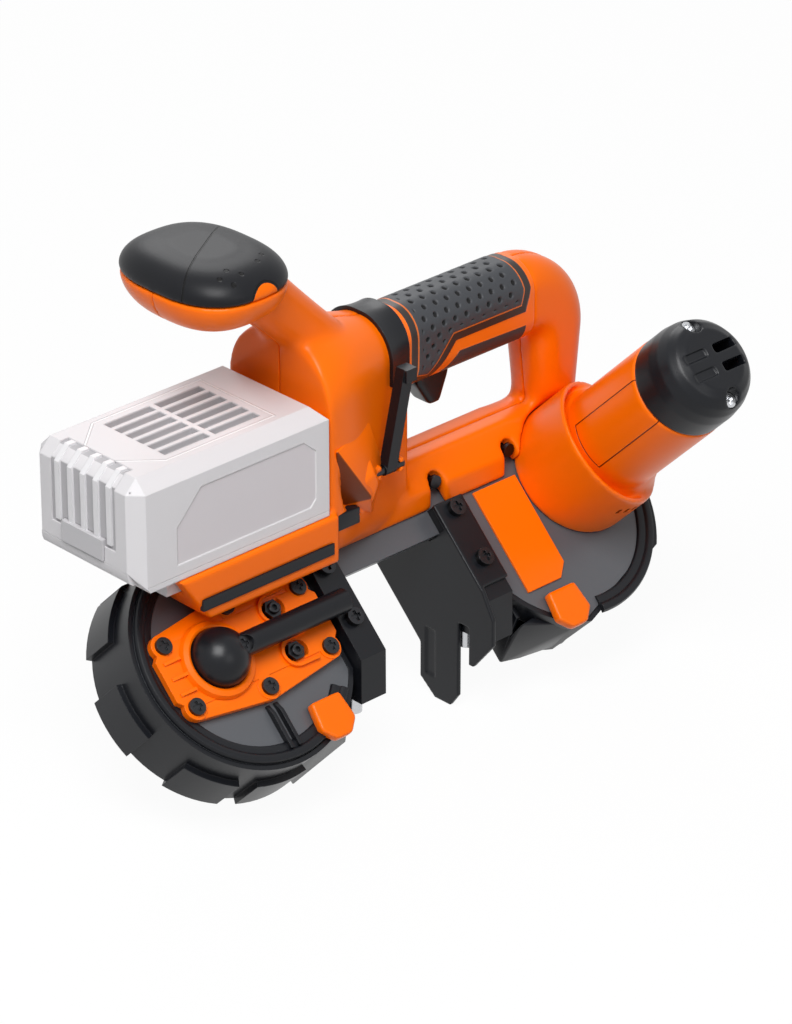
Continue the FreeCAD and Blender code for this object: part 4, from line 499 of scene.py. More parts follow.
def relax(mesh: Mesh, rounds: int, weight: np.ndarray | float = 1.0) -> None:
    """Smooth a mesh by moving each vertex towards the middle of its neighbours.

    Args:
        mesh: the mesh to smooth.
        rounds: how many times.
        weight: how far each vertex takes part, from 0 to 1.
    """
    count = len(mesh.vertices)
    places = points_of(mesh)
    ends = np.empty(len(mesh.edges) * 2, dtype=int)
    mesh.edges.foreach_get("vertices", ends)
    first, second = ends.reshape(-1, 2).T
    degree = (np.bincount(first, minlength=count) + np.bincount(second, minlength=count))[:, None]
    share = 0.5 * (weight[:, None] if isinstance(weight, np.ndarray) else weight)
    for _ in range(rounds):
        middle = np.stack([np.bincount(first, places[second, k], count)
                           + np.bincount(second, places[first, k], count) for k in range(3)], axis=1)
        places += share * (middle / degree - places)
    mesh.vertices.foreach_set("co", places.ravel())
    mesh.update()


def points_of(mesh: Mesh) -> np.ndarray:
    """A mesh's vertex places as rows."""
    places = np.empty(len(mesh.vertices) * 3)
    mesh.vertices.foreach_get("co", places)
    return places.reshape(-1, 3)


@dataclass(frozen=True)
class Blend:
    """A ball in the handle frame inside which a skin is smoothed much more."""

    centre: Point
    radius: float
    rounds: int


@dataclass(frozen=True)
class Skin:
    """A moulded skin: a fine copy of a CAD node with its edges rounded."""

    node: str
    slot: str
    voxel: float = 1.0
    rounds: int = 10
    faces: int = 150000
    blends: tuple[Blend, ...] = ()
    seam_soft: float = 0.0
    seam_gap: float = 0.4
    blend_rise: float = 1.5

    def freedom(self, mesh: Mesh) -> np.ndarray:
        """How far each vertex may be smoothed: less where it meets the other half at the seam."""
        away = np.abs(points_of(mesh)[:, 1] - HANDLE_ZERO.y * MM) / MM
        if not self.seam_soft:
            return np.ones(len(away))
        return np.clip((away - self.seam_gap) / self.seam_soft, 0.0, 1.0)

    def build(self, shop: "Workshop", material: Material,
              tools: Sequence[Obj] = ()) -> Obj:
        """Make the skin and let it stand for its node.

        Args:
            shop: where meshes are made.
            material: the skin's material.
            tools: what is cut out of the skin before it is smoothed.

        Returns:
            The skin object.
        """
        obj = shop.copy_of(self.node, self.node + "_skin")
        for tool in tools:
            shop.cut(obj, tool)
        remesh = obj.modifiers.new("fine", "REMESH")
        remesh.mode = "VOXEL"
        remesh.voxel_size = self.voxel * MM
        bake_modifiers(obj)
        free = self.freedom(obj.data)
        relax(obj.data, self.rounds, free)
        for blend in self.blends:
            away = np.linalg.norm(points_of(obj.data) - np.array(handle_point(*blend.centre)), axis=1)
            near = np.clip(self.blend_rise * (1 - away / (blend.radius * MM)), 0.0, 1.0)
            relax(obj.data, blend.rounds, near * free)
        triangles = sum(len(p.vertices) - 2 for p in obj.data.polygons)
        if triangles > self.faces:
            thin = obj.modifiers.new("thin", "DECIMATE")
            thin.ratio = self.faces / triangles
            bake_modifiers(obj)
        smooth_by_angle(obj, SKIN_CREASE)
        dress(obj, material)
        return shop.publish(obj, (self.node,))


class Workshop:
    """Makes meshes for the pieces and keeps one material for each plain finish."""

    def __init__(self) -> None:
        """Start with no materials made."""
        self._materials: dict[str, Material] = {}
        self.rows = RowGroup()
        self.body_of = {node: body for body, nodes in frame["record"]["behaviour"]["bodies"].items()
                        for node in nodes}

    def plain(self, finish: Plain) -> Material:
        """The material of a plain finish, made once."""
        if finish.name not in self._materials:
            self._materials[finish.name] = finish.value.material()
        return self._materials[finish.name]

    def dress_nodes(self) -> None:
        """Give every CAD node its plain finish."""
        for name, obj in frame["nodes"].items():
            dress(obj, self.plain(FINISH_OF_NODE[name]))
            LOG.info("node %s dressed in %s", name, FINISH_OF_NODE[name].name.lower())

    def from_bmesh(self, name: str, bm: bmesh.types.BMesh) -> Obj:
        """Turn a bmesh into a linked object and free it."""
        bmesh.ops.recalc_face_normals(bm, faces=bm.faces)
        mesh = bpy.data.meshes.new(name)
        bm.to_mesh(mesh)
        bm.free()
        obj = bpy.data.objects.new(name, mesh)
        bpy.context.collection.objects.link(obj)
        return obj

    def copy_of(self, node: str, name: str) -> Obj:
        """A loose copy of a CAD node's mesh with its doubled vertices merged."""
        bm = bmesh.new()
        bm.from_mesh(frame["nodes"][node].data)
        bmesh.ops.remove_doubles(bm, verts=bm.verts, dist=1e-6)
        return self.from_bmesh(name, bm)

    def hull(self, name: str, corners: Sequence[Point], point: Callable[..., Vector] = handle_point,
             soft: float = 0.0) -> Obj:
        """A convex solid round some corners.

        Args:
            name: the object's name.
            corners: its corners, in millimetres.
            point: the frame that the corners are in.
            soft: the width of its bevelled edges.

        Returns:
            The solid.
        """
        bm = bmesh.new()
        found = bmesh.ops.convex_hull(bm, input=[bm.verts.new(point(*place)) for place in corners])
        inner = {v for v in found["geom_interior"] if isinstance(v, bmesh.types.BMVert)}
        bmesh.ops.delete(bm, geom=list(inner), context="VERTS")
        bmesh.ops.dissolve_limit(bm, angle_limit=math.radians(1.0), verts=bm.verts, edges=bm.edges)
        solid = self.from_bmesh(name, bm)
        if soft:
            bevel = solid.modifiers.new("soft", "BEVEL")
            bevel.width = soft * MM
            bevel.segments = 3
            bake_modifiers(solid)
        smooth_by_angle(solid, HULL_CREASE)
        return solid

    def prism(self, name: str, outline: Sequence[tuple[float, float]], low: float, high: float,
              point: Callable[[float, float, float], Vector] = across_handle) -> Obj:
        """A prism, across the handle frame unless another frame is given.

        Args:
            name: the object's name.
            outline: its corners, in millimetres.
            low: where it starts.
            high: where it ends.
            point: turns a corner's two places and the place along the prism into metres.

        Returns:
            The prism.
        """
        bm = bmesh.new()
        rings = [[bm.verts.new(point(a, b, end)) for a, b in outline] for end in (low, high)]
        bm.faces.new(rings[0])
        bm.faces.new(rings[1])
        for k in range(len(outline)):
            n = (k + 1) % len(outline)
            bm.faces.new((rings[0][k], rings[0][n], rings[1][n], rings[1][k]))
        return self.from_bmesh(name, bm)

    def cut(self, target: Obj, tool: Obj, tangled: bool = True) -> None:
        """Cut a tool out of a target and drop the tool.

        Args:
            target: what is cut.
            tool: what is cut out of it.
            tangled: whether faces of one of the two may cross each other, which takes longer.
        """
        boolean = target.modifiers.new("cut", "BOOLEAN")
        boolean.operation = "DIFFERENCE"
        boolean.solver = "EXACT"
        boolean.use_self = tangled
        boolean.object = tool
        bake_modifiers(target)
        bpy.data.objects.remove(tool)

    def trim(self, obj: Obj, finish: Plain, rides: str, crease: float | None = None) -> None:
        """Dress and publish a piece in a plain finish that stands for no node.

        Args:
            obj: the piece.
            finish: its finish.
            rides: the node whose body it rides.
            crease: the angle past which its edges are sharp, where its shading isn't set yet.
        """
        if crease is not None:
            smooth_by_angle(obj, crease)
        dress(obj, self.plain(finish))
        self.publish(obj, rides=rides)

    def publish(self, obj: Obj, nodes: Sequence[str] = (),
                rides: str | None = None) -> Obj:
        """Let a finished piece ride its body.

        Args:
            obj: the piece.
            nodes: the CAD nodes it stands for.
            rides: the node whose body it rides, if it stands for none.

        Returns:
            The piece.
        """
        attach(obj, self.body_of[rides or nodes[0]])
        if nodes:
            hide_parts(*nodes)
        LOG.info("piece %s made, %d faces", obj.name, len(obj.data.polygons))
        return obj


def outside(x: Any, z: Any, corners: Sequence[tuple[float, float]]) -> Any:
    """How far points lie outside a convex outline.

    Args:
        x: their first coordinates, as a shader value or as numbers.
        z: their second coordinates.
        corners: the outline's corners, anticlockwise; a closing edge isn't added.

    Returns:
        The greatest signed distance from the edges, below zero inside.
    """
    edges = []
    for (x0, z0), (x1, z1) in zip(corners, corners[1:]):
        length = math.hypot(x1 - x0, z1 - z0)
        a, b = (z1 - z0) / length, (x0 - x1) / length
        edges.append(x * a + z * b - (a * x0 + b * z0))
    return reduce(Value.most, edges) if isinstance(x, Value) else np.max(edges, axis=0)


def fade(value: np.ndarray, edge: float, soft: float) -> np.ndarray:
    """A mask that falls smoothly from 1 to 0 round an edge, over a soft width on each side."""
    share = np.clip((edge + soft - value) / (2 * soft), 0.0, 1.0)
    return share * share * (3 - 2 * share)


def wrap(value: np.ndarray, period: float) -> np.ndarray:
    """Values wrapped into half a period on each side of zero."""
    return (value + period / 2) % period - period / 2


@dataclass(frozen=True)
class GripPad:
    """The grip's sleeve: a dimpled dark pad with an inset line and painted shade in its dimples, over
    orange with a dark underside.
    """

    body: Outline = ((133.6, 140.0), (133.4, 106.8), (213.4, 106.6), (217.2, 119.0), (215.6, 140.0))
    leg: Outline = ((134.0, 140.0), (133.2, 91.8), (147.6, 87.8), (164.8, 107.2), (178.0, 122.0))
    under: Outline = ((214.5, 80.0), (214.0, 98.8), (167.0, 100.2), (158.0, 90.5), (158.0, 80.0))
    border: float = 4.2
    line: float = 0.9
    pitch: tuple[float, float] = (7.8, 9.6)
    dimple: float = 1.15
    dimple_edge: float = 3.4
    axis_height: float = 108.0
    arc: float = 19.0
    pad_height: float = 0.3
    field_height: float = 0.3
    dimple_depth: float = 1.3
    dimple_soft: float = 0.4
    soft: float = 0.3
    sharp: float = 0.12
    border_colour: Colour = (0.016, 0.0085, 0.006)
    line_colour: Colour = (0.62, 0.13, 0.012)
    field_colour: Colour = (0.03, 0.033, 0.039)
    # Painted shade in the dimples
    dimple_painted_shade: Colour = (0.0025, 0.0025, 0.003)
    under_colour: Colour = (0.022, 0.023, 0.026)
    under_lip: float = 0.3
    rough_pad: float = 0.12
    rough_dimple: float = 0.4
    texture: Texture = Texture(roughness=0.36, shine=0.5, edge=0.6, grain=0.02, grain_scale=1300.0)

    def relief(self, places: np.ndarray) -> np.ndarray:
        """How far the sleeve stands out: up on the pad and its field, down in the dimples.

        Args:
            places: rows of x, y and z in the handle frame, in millimetres.

        Returns:
            One height for each row, in millimetres.
        """
        x, y, z = places.T
        pad = np.minimum(outside(x, z, self.body), outside(x, z, self.leg))
        angle = np.arctan2(np.abs(y), z - self.axis_height) * self.arc
        spots = np.min([np.hypot(wrap(x + shift * self.pitch[0], self.pitch[0]),
                                 wrap(angle + shift * self.pitch[1], self.pitch[1]))
                        for shift in (0.0, 0.5)], axis=0)
        dimple = (fade(spots, self.dimple, self.dimple_soft)
                  * fade(pad, -self.border - self.dimple_edge, self.soft))
        return (self.pad_height * fade(pad, 0.0, self.soft)
                + self.field_height * fade(pad, -self.border - self.line, self.soft)
                - self.dimple_depth * dimple)

    def emboss(self, sleeve: Obj) -> None:
        """Press the pad's relief into the outer face of the sleeve's mesh."""
        mesh = sleeve.data
        places = points_of(mesh) / MM - np.array(HANDLE_ZERO)
        normals = np.empty(len(mesh.vertices) * 3)
        mesh.vertex_normals.foreach_get("vector", normals)
        normals = normals.reshape(-1, 3)
        radial = (places - (0.0, 0.0, self.axis_height)) * (0.0, 1.0, 1.0)
        height = self.relief(places) * ((normals * radial).sum(axis=1) > 0.0)
        mesh.vertices.foreach_set("co", (points_of(mesh) + normals * height[:, None] * MM).ravel())
        mesh.update()

    def material(self) -> Material:
        """Build the material."""
        shader = Shader("grip_pad")
        x, y, z = shader.handle_place()
        pad = outside(x, z, self.body).least(outside(x, z, self.leg))
        inside = pad.below(0.0, 0.15)
        low = outside(x, z, self.under).below(0.0, 0.15)
        field_ = pad.below(-self.border - self.line, self.sharp)
        line = pad.below(-self.border, self.sharp) - field_
        angle = shader.math("ARCTAN2", y.size(), z - self.axis_height) * self.arc
        spots = reduce(Value.least, [
            shader.length((x + shift * self.pitch[0]).wrapped(self.pitch[0]),
                          (angle + shift * self.pitch[1]).wrapped(self.pitch[1])) for shift in (0.0, 0.5)])
        dimple = (spots.below(self.dimple + 0.1, self.soft)
                  * pad.below(-self.border - self.dimple_edge, self.soft))
        colour = Plain.ORANGE.value.colour
        # The dimples are painted near black as painted shade
        for mask, paint in ((inside, self.border_colour), (line, self.line_colour),
                            (field_, self.field_colour), (dimple, self.dimple_painted_shade),
                            (low, self.under_colour)):
            colour = shader.mix(mask, colour, paint)
        rough = self.rough_pad * (field_ + low) + self.rough_dimple * dimple
        return self.texture.close(shader, colour, low * self.under_lip, rough)


@dataclass(frozen=True)
class KnobPad:
    """The palm cap's rubber: a seam, a few dimples with painted shade and an orange tongue at the near end.
    """

    tongue: tuple[float, float] = (15.5, 185.0)
    tongue_radius: float = 8.2
    seam_slope: float = 0.62
    seam_shift: float = -9.0
    dimples: Outline = ((-3.0, -30.0), (3.5, -27.5), (8.0, -33.0), (0.5, -36.0), (22.0, -29.0),
                        (28.0, -25.0))
    dimple: float = 1.2
    near_end: float = -28.0
    rim_gap: float = 0.6
    rim_half: float = 0.5
    seam_half: float = 0.45
    rubber: Colour = (0.006, 0.0065, 0.0085)
    # Dark of the seam and of the ring round the tongue, which are joints, and painted shade in the dimples
    groove_and_dimple_shade: Colour = (0.001, 0.001, 0.0013)
    dimple_depth: float = 0.6
    groove_depth: float = 0.5
    texture: Texture = Texture(roughness=0.38, shine=0.2, edge=0.6, grain=0.02, grain_scale=1300.0)

    def material(self) -> Material:
        """Build the material."""
        shader = Shader("knob_pad")
        x, y, z = shader.handle_place()
        away = shader.length(x - self.tongue[0], z - self.tongue[1])
        near = y.below(self.near_end, 0.5)
        tongue = away.below(self.tongue_radius, 0.12) * near
        rim = (away - self.tongue_radius - self.rim_gap).size().below(self.rim_half, 0.2) * near
        seam = (y - self.seam_slope * x - self.seam_shift).size().below(self.seam_half, 0.2)
        spots = reduce(Value.least, [shader.length(x - u, y - v) for u, v in self.dimples])
        dimple = spots.below(self.dimple, 0.3)
        # The seam and the ring round the tongue are dark joints; the same dark in the dimples is painted
        # shade
        colour = shader.mix(dimple.most(seam).most(rim), self.rubber, self.groove_and_dimple_shade)
        colour = shader.mix(tongue, colour, Plain.ORANGE.value.colour)
        height = dimple * -self.dimple_depth - (seam + rim) * self.groove_depth
        return self.texture.close(shader, colour, height)


@dataclass
class Handle:
    """The two handle shells with the grip's pad and the palm knob."""

    voxel: float = 1.1
    blends: tuple[Blend, ...] = (Blend((66.0, 0.0, 142.0), 34.0, 60), Blend((98.0, 0.0, 100.0), 26.0, 40),
                                 Blend((230.0, 0.0, 50.0), 24.0, 90), Blend((230.0, 0.0, 88.0), 18.0, 60),
                                 Blend((132.0, 0.0, 48.0), 20.0, 60))
    pocket_places: tuple[float, ...] = (150.0, 202.0)
    pocket_half: float = 4.6
    pocket_top: float = 37.0
    pocket_floor: float = -13.0
    pocket_mouth: float = -30.0
    pocket_foot: float = 10.0
    cheek: tuple[Point, ...] = ((63.5, -38.6, 86.4), (83.0, -42.0, 56.2), (91.8, -33.0, 41.1),
                                (71.2, -30.0, 51.5), (91.8, -30.5, 92.7), (104.0, -29.5, 60.0),
                                (101.0, -28.0, 50.0), (66.0, -22.0, 86.0), (92.0, -20.0, 92.0),
                                (103.0, -18.0, 60.0), (72.0, -20.0, 52.0), (92.0, -18.0, 42.0))
    # The lower facet's corners, the reach of the hollow cut under it, and the band and share of the painted
    # shade on that facet
    cheek_shade: tuple[int, ...] = (0, 1, 2, 3)
    shade_reach: float = 20.0
    shade_band: tuple[float, float] = (0.7, 0.4)
    shade: float = 0.16
    block: tuple[Point, Point] = ((63.9, -37.5, 41.5), (80.0, -22.0, 50.5))

    def pocket(self, x: float) -> list[tuple[float, float]]:
        """The outline of a screw pocket that is open downwards, round at its top."""
        half, foot = self.pocket_half, self.pocket_foot
        arch = [(x + half * math.cos(turn), self.pocket_top - half + half * math.sin(turn))
                for turn in np.radians(range(0, 181, 20))]
        return [(x + half, foot)] + arch + [(x - half, foot)]

    def tools(self, shop: Workshop) -> list[Obj]:
        """What is cut from the near shell: the screw pockets and the hollow under the cheek."""
        made = [shop.prism("pocket", self.pocket(x), self.pocket_mouth, self.pocket_floor)
                for x in self.pocket_places]
        edge = [self.cheek[k] for k in self.cheek_shade]
        made.append(shop.hull("hollow", edge + [(x, y - self.shade_reach, z) for x, y, z in edge]))
        return made

    def cheek_painted_shade(self) -> Material:
        """Orange with painted shade on the cheek's lower facet, which turns away from the light."""
        shader = Shader("cheek_orange_painted_shade")
        first, second, _, last = (Vector(self.cheek[k]) for k in self.cheek_shade)
        normal = (second - first).cross(last - first).normalized()
        away = reduce(Value.__add__, [(value - start) * part for value, part, start
                                      in zip(shader.handle_place(), normal, first)])
        orange = Plain.ORANGE.value
        # Painted shade: the lower facet's plane is painted a darker orange
        colour = shader.mix(away.size().below(*self.shade_band), orange.colour,
                            scaled(orange.colour, self.shade))
        return shader.surface(Base_Color=colour, Roughness=orange.roughness,
                              Specular_IOR_Level=orange.shine)

    def cheek_facets(self, shop: Workshop) -> None:
        """Make the faceted wedge low on the tower's near side and the black block under it."""
        facets = shop.hull("cheek_facets", self.cheek, soft=0.5)
        dress(facets, self.cheek_painted_shade())
        shop.publish(facets, rides="housing_left")
        (x0, y0, z0), (x1, y1, z1) = self.block
        block = shop.hull("foot_block", [(x, y, z) for x in (x0, x1) for y in (y0, y1) for z in (z0, z1)],
                          soft=0.8)
        shop.trim(block, Plain.BLACK, "housing_left")

    def build(self, shop: Workshop) -> None:
        """Make the skins and dress the pads."""
        orange = shop.plain(Plain.ORANGE)
        for node, tools in (("housing_left", self.tools(shop)), ("housing_right", [])):
            Skin(node, "orange_shell", voxel=self.voxel, rounds=8, faces=160000, blends=self.blends,
                 seam_soft=3.0).build(shop, orange, tools)
        self.cheek_facets(shop)
        Skin("knob_cap", "soft_rubber", voxel=0.9, rounds=10, faces=60000).build(shop, KnobPad().material())
        Skin("trigger", "black_plastic", voxel=0.5, rounds=60,
             faces=40000).build(shop, shop.plain(Plain.BLACK_COAT))
        pad = GripPad()
        sleeve = Skin("grip_rubber", "soft_rubber", voxel=0.46, rounds=2, faces=194000)
        pad.emboss(sleeve.build(shop, pad.material()))


@dataclass(frozen=True)
class MotorShell:
    """The motor's orange shell with the seam of its panel and three vents on the heel, which get painted
    shade.
    """

    axis: tuple[float, float] = (240.0, 15.5)
    panel_turn: float = 26.0
    panel_low: float = 49.0
    barrel: float = 28.0
    seam_reach: float = 30.5
    heel: float = 36.0
    vent_turns: tuple[float, ...] = (-88.0, -80.0, -72.0)
    vent_place: float = 28.5
    vent_half: tuple[float, float] = (0.9, 2.4)
    vent_depth: float = 1.6
    overrun: float = 3.0
    seam_half: float = 0.32
    seam_colour: Colour = (0.2, 0.02, 0.0)
    # Painted shade inside the vents
    vent_shade: Colour = (0.03, 0.004, 0.001)
    seam_depth: float = 0.4
    texture: Texture = Texture(roughness=0.31, shine=0.22, edge=0.8, grain=0.012, grain_scale=1500.0,
                               octaves=1.0)

    def vents(self, shop: Workshop) -> list[Obj]:
        """The tools that cut the heel's three vents."""
        made = []
        for turn in np.radians(self.vent_turns):
            corners = [(self.axis[0] - r * math.cos(turn) + t * math.sin(turn),
                        self.axis[1] + r * math.sin(turn) + t * math.cos(turn), self.vent_place + n)
                       for r in (self.heel - self.vent_depth, self.heel + self.overrun)
                       for t in (-self.vent_half[0], self.vent_half[0])
                       for n in (-self.vent_half[1], self.vent_half[1])]
            made.append(shop.hull("vent", corners, band_point))
        return made

    def material(self) -> Material:
        """Build the material."""
        shader = Shader("motor_shell")
        x, y, z = (value - zero for value, zero in zip(shader.place(), WHEEL_ZERO))
        across = (y + z) * HALF_ROOT
        along = (z - y) * HALF_ROOT
        turn = shader.math("ARCTAN2", across - self.axis[1], self.axis[0] - x)
        side = (turn.size() - math.radians(self.panel_turn)) * self.barrel
        edge = side.most(self.panel_low - along)
        reach = shader.length(x - self.axis[0], across - self.axis[1])
        seam = edge.size().below(self.seam_half, self.seam_half / 2) * reach.below(self.seam_reach, 0.3)
        high = (along - self.vent_place).size() - self.vent_half[1]
        vent = reduce(Value.least, [
            (((turn - math.radians(place)) * self.heel).size() - self.vent_half[0]).most(high)
            for place in self.vent_turns]).below(0.0, 0.2)
        colour = shader.mix(seam, Plain.ORANGE.value.colour, self.seam_colour)
        # Painted shade in the vents
        colour = shader.mix(vent, colour, self.vent_shade)
        return self.texture.close(shader, colour, seam * -self.seam_depth)


@dataclass
class Motor:
    """The motor's housing and cap."""

    def build(self, shop: Workshop) -> None:
        """Make the skins of the housing, with its vents, and of the cap."""
        shell = MotorShell()
        housing = Skin("motor_housing", "orange_shell", voxel=0.9, rounds=14,
                       faces=120000).build(shop, shell.material())
        for vent in shell.vents(shop):
            shop.cut(housing, vent, tangled=False)
        smooth_by_angle(housing, SKIN_CREASE)
        Skin("motor_cap", "black_plastic", voxel=0.55, rounds=6,
             faces=120000).build(shop, shop.plain(Plain.BLACK))


@dataclass(frozen=True)
class PackShell:
    """The pack's pale finish: painted shade in the nose recess, a raised line on top with a painted
    highlight, and tinted side panels with painted highlights on their edges.
    """

    pale: Colour = (0.7, 0.685, 0.7)
    # Painted shade in the nose recess
    recess_shade: Colour = (0.46, 0.45, 0.465)
    # Painted highlight on the raised line on top and on the side panels' edges
    ridge_highlight: Colour = (0.88, 0.875, 0.885)
    tint: Colour = (0.6, 0.545, 0.57)
    top: float = 113.0
    nose: float = -66.0
    chamfer: float = 7.0
    # Where the painted shade of the nose recess starts, its half width and its lowest height
    deep_from: float = 0.7
    deep_half: float = 24.0
    deep_low: float = 70.0
    side: float = 37.6
    line_height: float = 0.5
    texture: Texture = Texture(roughness=0.45, shine=0.3, edge=0.8, grain=0.015, grain_scale=900.0,
                               spread=0.05)
    rim: Outline = ((-47.0, 17.5), (-36.0, 27.0), (33.0, 27.0), (33.0, 0.0))
    line: float = 0.6
    panel: Outline = ((50.0, 66.0), (50.0, 92.0), (42.0, 99.0), (-24.0, 99.0), (-40.0, 82.0),
                      (-40.0, 62.0), (46.0, 62.0), (50.0, 66.0))

    def material(self) -> Material:
        """Build the material."""
        shader = Shader("pack_grey")
        x, y, z = shader.handle_place()
        side = y.size()
        behind, under = x - self.nose, self.top - z
        sunk = behind.least(under).least((behind + under - self.chamfer) * HALF_ROOT)
        recess_shade = (sunk.above(self.deep_from, 0.25) * side.below(self.deep_half, 0.2)
                * z.above(self.deep_low, 0.3))
        on_top = z.above(self.top - 0.5, 0.2)
        rim = outside(side, x, [(b, a) for a, b in self.rim]).size().below(self.line, 0.2) * on_top
        flank = outside(x, z, self.panel)
        on_side = side.above(self.side, 0.1)
        panel = flank.below(0.0, 0.4) * on_side
        edge = flank.size().below(0.5, 0.3) * on_side
        colour = shader.mix(shader.noise(16.0), scaled(self.pale, 0.96), self.pale)
        # Over the pale grey: tinted side panels, a painted highlight on their edges, painted shade in the
        # nose recess and a painted highlight on the raised line on top
        for mask, paint in ((panel * 0.5, self.tint), (edge * 0.35, self.ridge_highlight), (recess_shade, self.recess_shade),
                            (rim, self.ridge_highlight)):
            colour = shader.mix(mask, colour, paint)
        return self.texture.close(shader, colour, rim * self.line_height)


@dataclass
class BatteryPack:
    """The slide-in pack with its slotted top and ribbed nose."""

    slot_starts: tuple[float, ...] = (-33.0, -1.0)
    slot_length: float = 29.0
    slot_width: float = 5.6
    slot_pitch: float = 7.9
    slots: int = 6
    slot_depth: float = 3.4
    shell: PackShell = PackShell()
    half_width: float = 38.2
    corner: float = 6.4
    corner_reach: tuple[float, float] = (40.0, 120.0)
    rib_pitch: float = 9.4
    ribs: int = 5
    rib_width: float = 3.4
    rib_sink: float = 0.2
    rib_gaps: tuple[float, float] = (2.0, 0.5)
    recess: float = 1.3
    bend_depth: float = 0.42
    pocket_half: float = 23.5
    pocket_low: float = 73.0
    pocket_end: float = -54.0
    chin: Outline = ((-66.0, 64.2), (-65.8, 61.0), (-64.9, 58.6), (-63.0, 57.0), (-59.0, 56.2),
                     (-58.0, 64.2))
    chin_half: float = 31.6
    panel_depth: float = 0.45
    margin: float = 1.0
    overrun: float = 2.0

    def pocket(self, depth: float, low: float, end: float, over: float) -> list[tuple[float, float]]:
        """The nose pocket's outline, from a depth under the skin to a distance over it."""
        nose, top, chamfer = self.shell.nose, self.shell.top, self.shell.chamfer
        bend = chamfer + self.bend_depth * math.sqrt(2.0) - depth
        lean = over * (math.sqrt(2.0) - 1.0)
        return [(nose + depth, low), (nose + depth, top - bend), (nose + bend, top - depth),
                (end, top - depth), (end, top + over), (nose + chamfer - lean, top + over),
                (nose - over, top - chamfer + lean), (nose - over, low)]

    def row(self, shop: Workshop, name: str, outline: Sequence[tuple[float, float]], width: float,
            count: int, pitch: float, material: Material) -> Obj:
        """A row of equal prisms across the pack, with its middle on the pack's own.

        Args:
            shop: where meshes are made.
            name: the object's name.
            outline: each prism's corners, in millimetres.
            width: each prism's width.
            count: how many there are.
            pitch: the way from one to the next.
            material: the row's material.

        Returns:
            The row.
        """
        first = -pitch * (count - 1) / 2
        made = shop.prism(name, outline, first - width / 2, first + width / 2)
        shop.rows.repeat(made, count, Vector((0.0, pitch * MM, 0.0)), material)
        return made

    def cut_case(self, shop: Workshop, case: Obj, pale: Material) -> None:
        """Cut the slots, the nose pocket, the side panels and the nose's corners out of the case."""
        low, high = self.shell.top - self.slot_depth, self.shell.top + self.overrun
        for start in self.slot_starts:
            end = start + self.slot_length
            shop.cut(case, self.row(shop, "slot", [(start, low), (end, low), (end, high), (start, high)],
                                    self.slot_width, self.slots, self.slot_pitch, pale))
        outline = self.pocket(self.recess, self.pocket_low, self.pocket_end, self.overrun)
        shop.cut(case, shop.prism("pocket", outline, -self.pocket_half, self.pocket_half))
        front = self.shell.nose - self.margin
        for sign in (-1.0, 1.0):
            side = sign * (self.half_width + self.margin)
            shop.cut(case, shop.prism("panel", self.shell.panel[:-1],
                                      sign * (self.half_width - self.panel_depth), side))
            outline = [(front, sign * (self.half_width - self.corner - self.margin)),
                       (self.shell.nose + self.corner + self.margin, side), (front, side)]
            shop.cut(case, shop.prism("corner", outline, *self.corner_reach, handle_point))

    def build(self, shop: Workshop) -> None:
        """Make the case, its ribs and its chin, and dress the base."""
        pale = self.shell.material()
        case = shop.copy_of("battery_case", "battery_shell")
        self.cut_case(shop, case, pale)
        smooth_by_angle(case, CASE_CREASE)
        dress(case, pale)
        shop.publish(case, ("battery_case",))
        outline = self.pocket(self.recess + self.rib_sink, self.pocket_low + self.rib_gaps[0],
                              self.pocket_end - self.rib_gaps[1], 0.0)
        # The ribs are painted lighter than the case as a painted highlight
        ribs = self.row(shop, "pack_ribs", outline, self.rib_width, self.ribs, self.rib_pitch,
                        shop.plain(Plain.PACK_RIB_HIGHLIGHT))
        smooth_by_angle(ribs)
        shop.publish(ribs, rides="battery_case")
        chin = shop.prism("pack_chin", self.chin, -self.chin_half, self.chin_half)
        smooth_by_angle(chin, ROUND_CREASE)
        dress(chin, pale)
        shop.publish(chin, rides="battery_case")
        dress(frame["nodes"]["battery_base"], pale)
        LOG.info("battery base dressed")


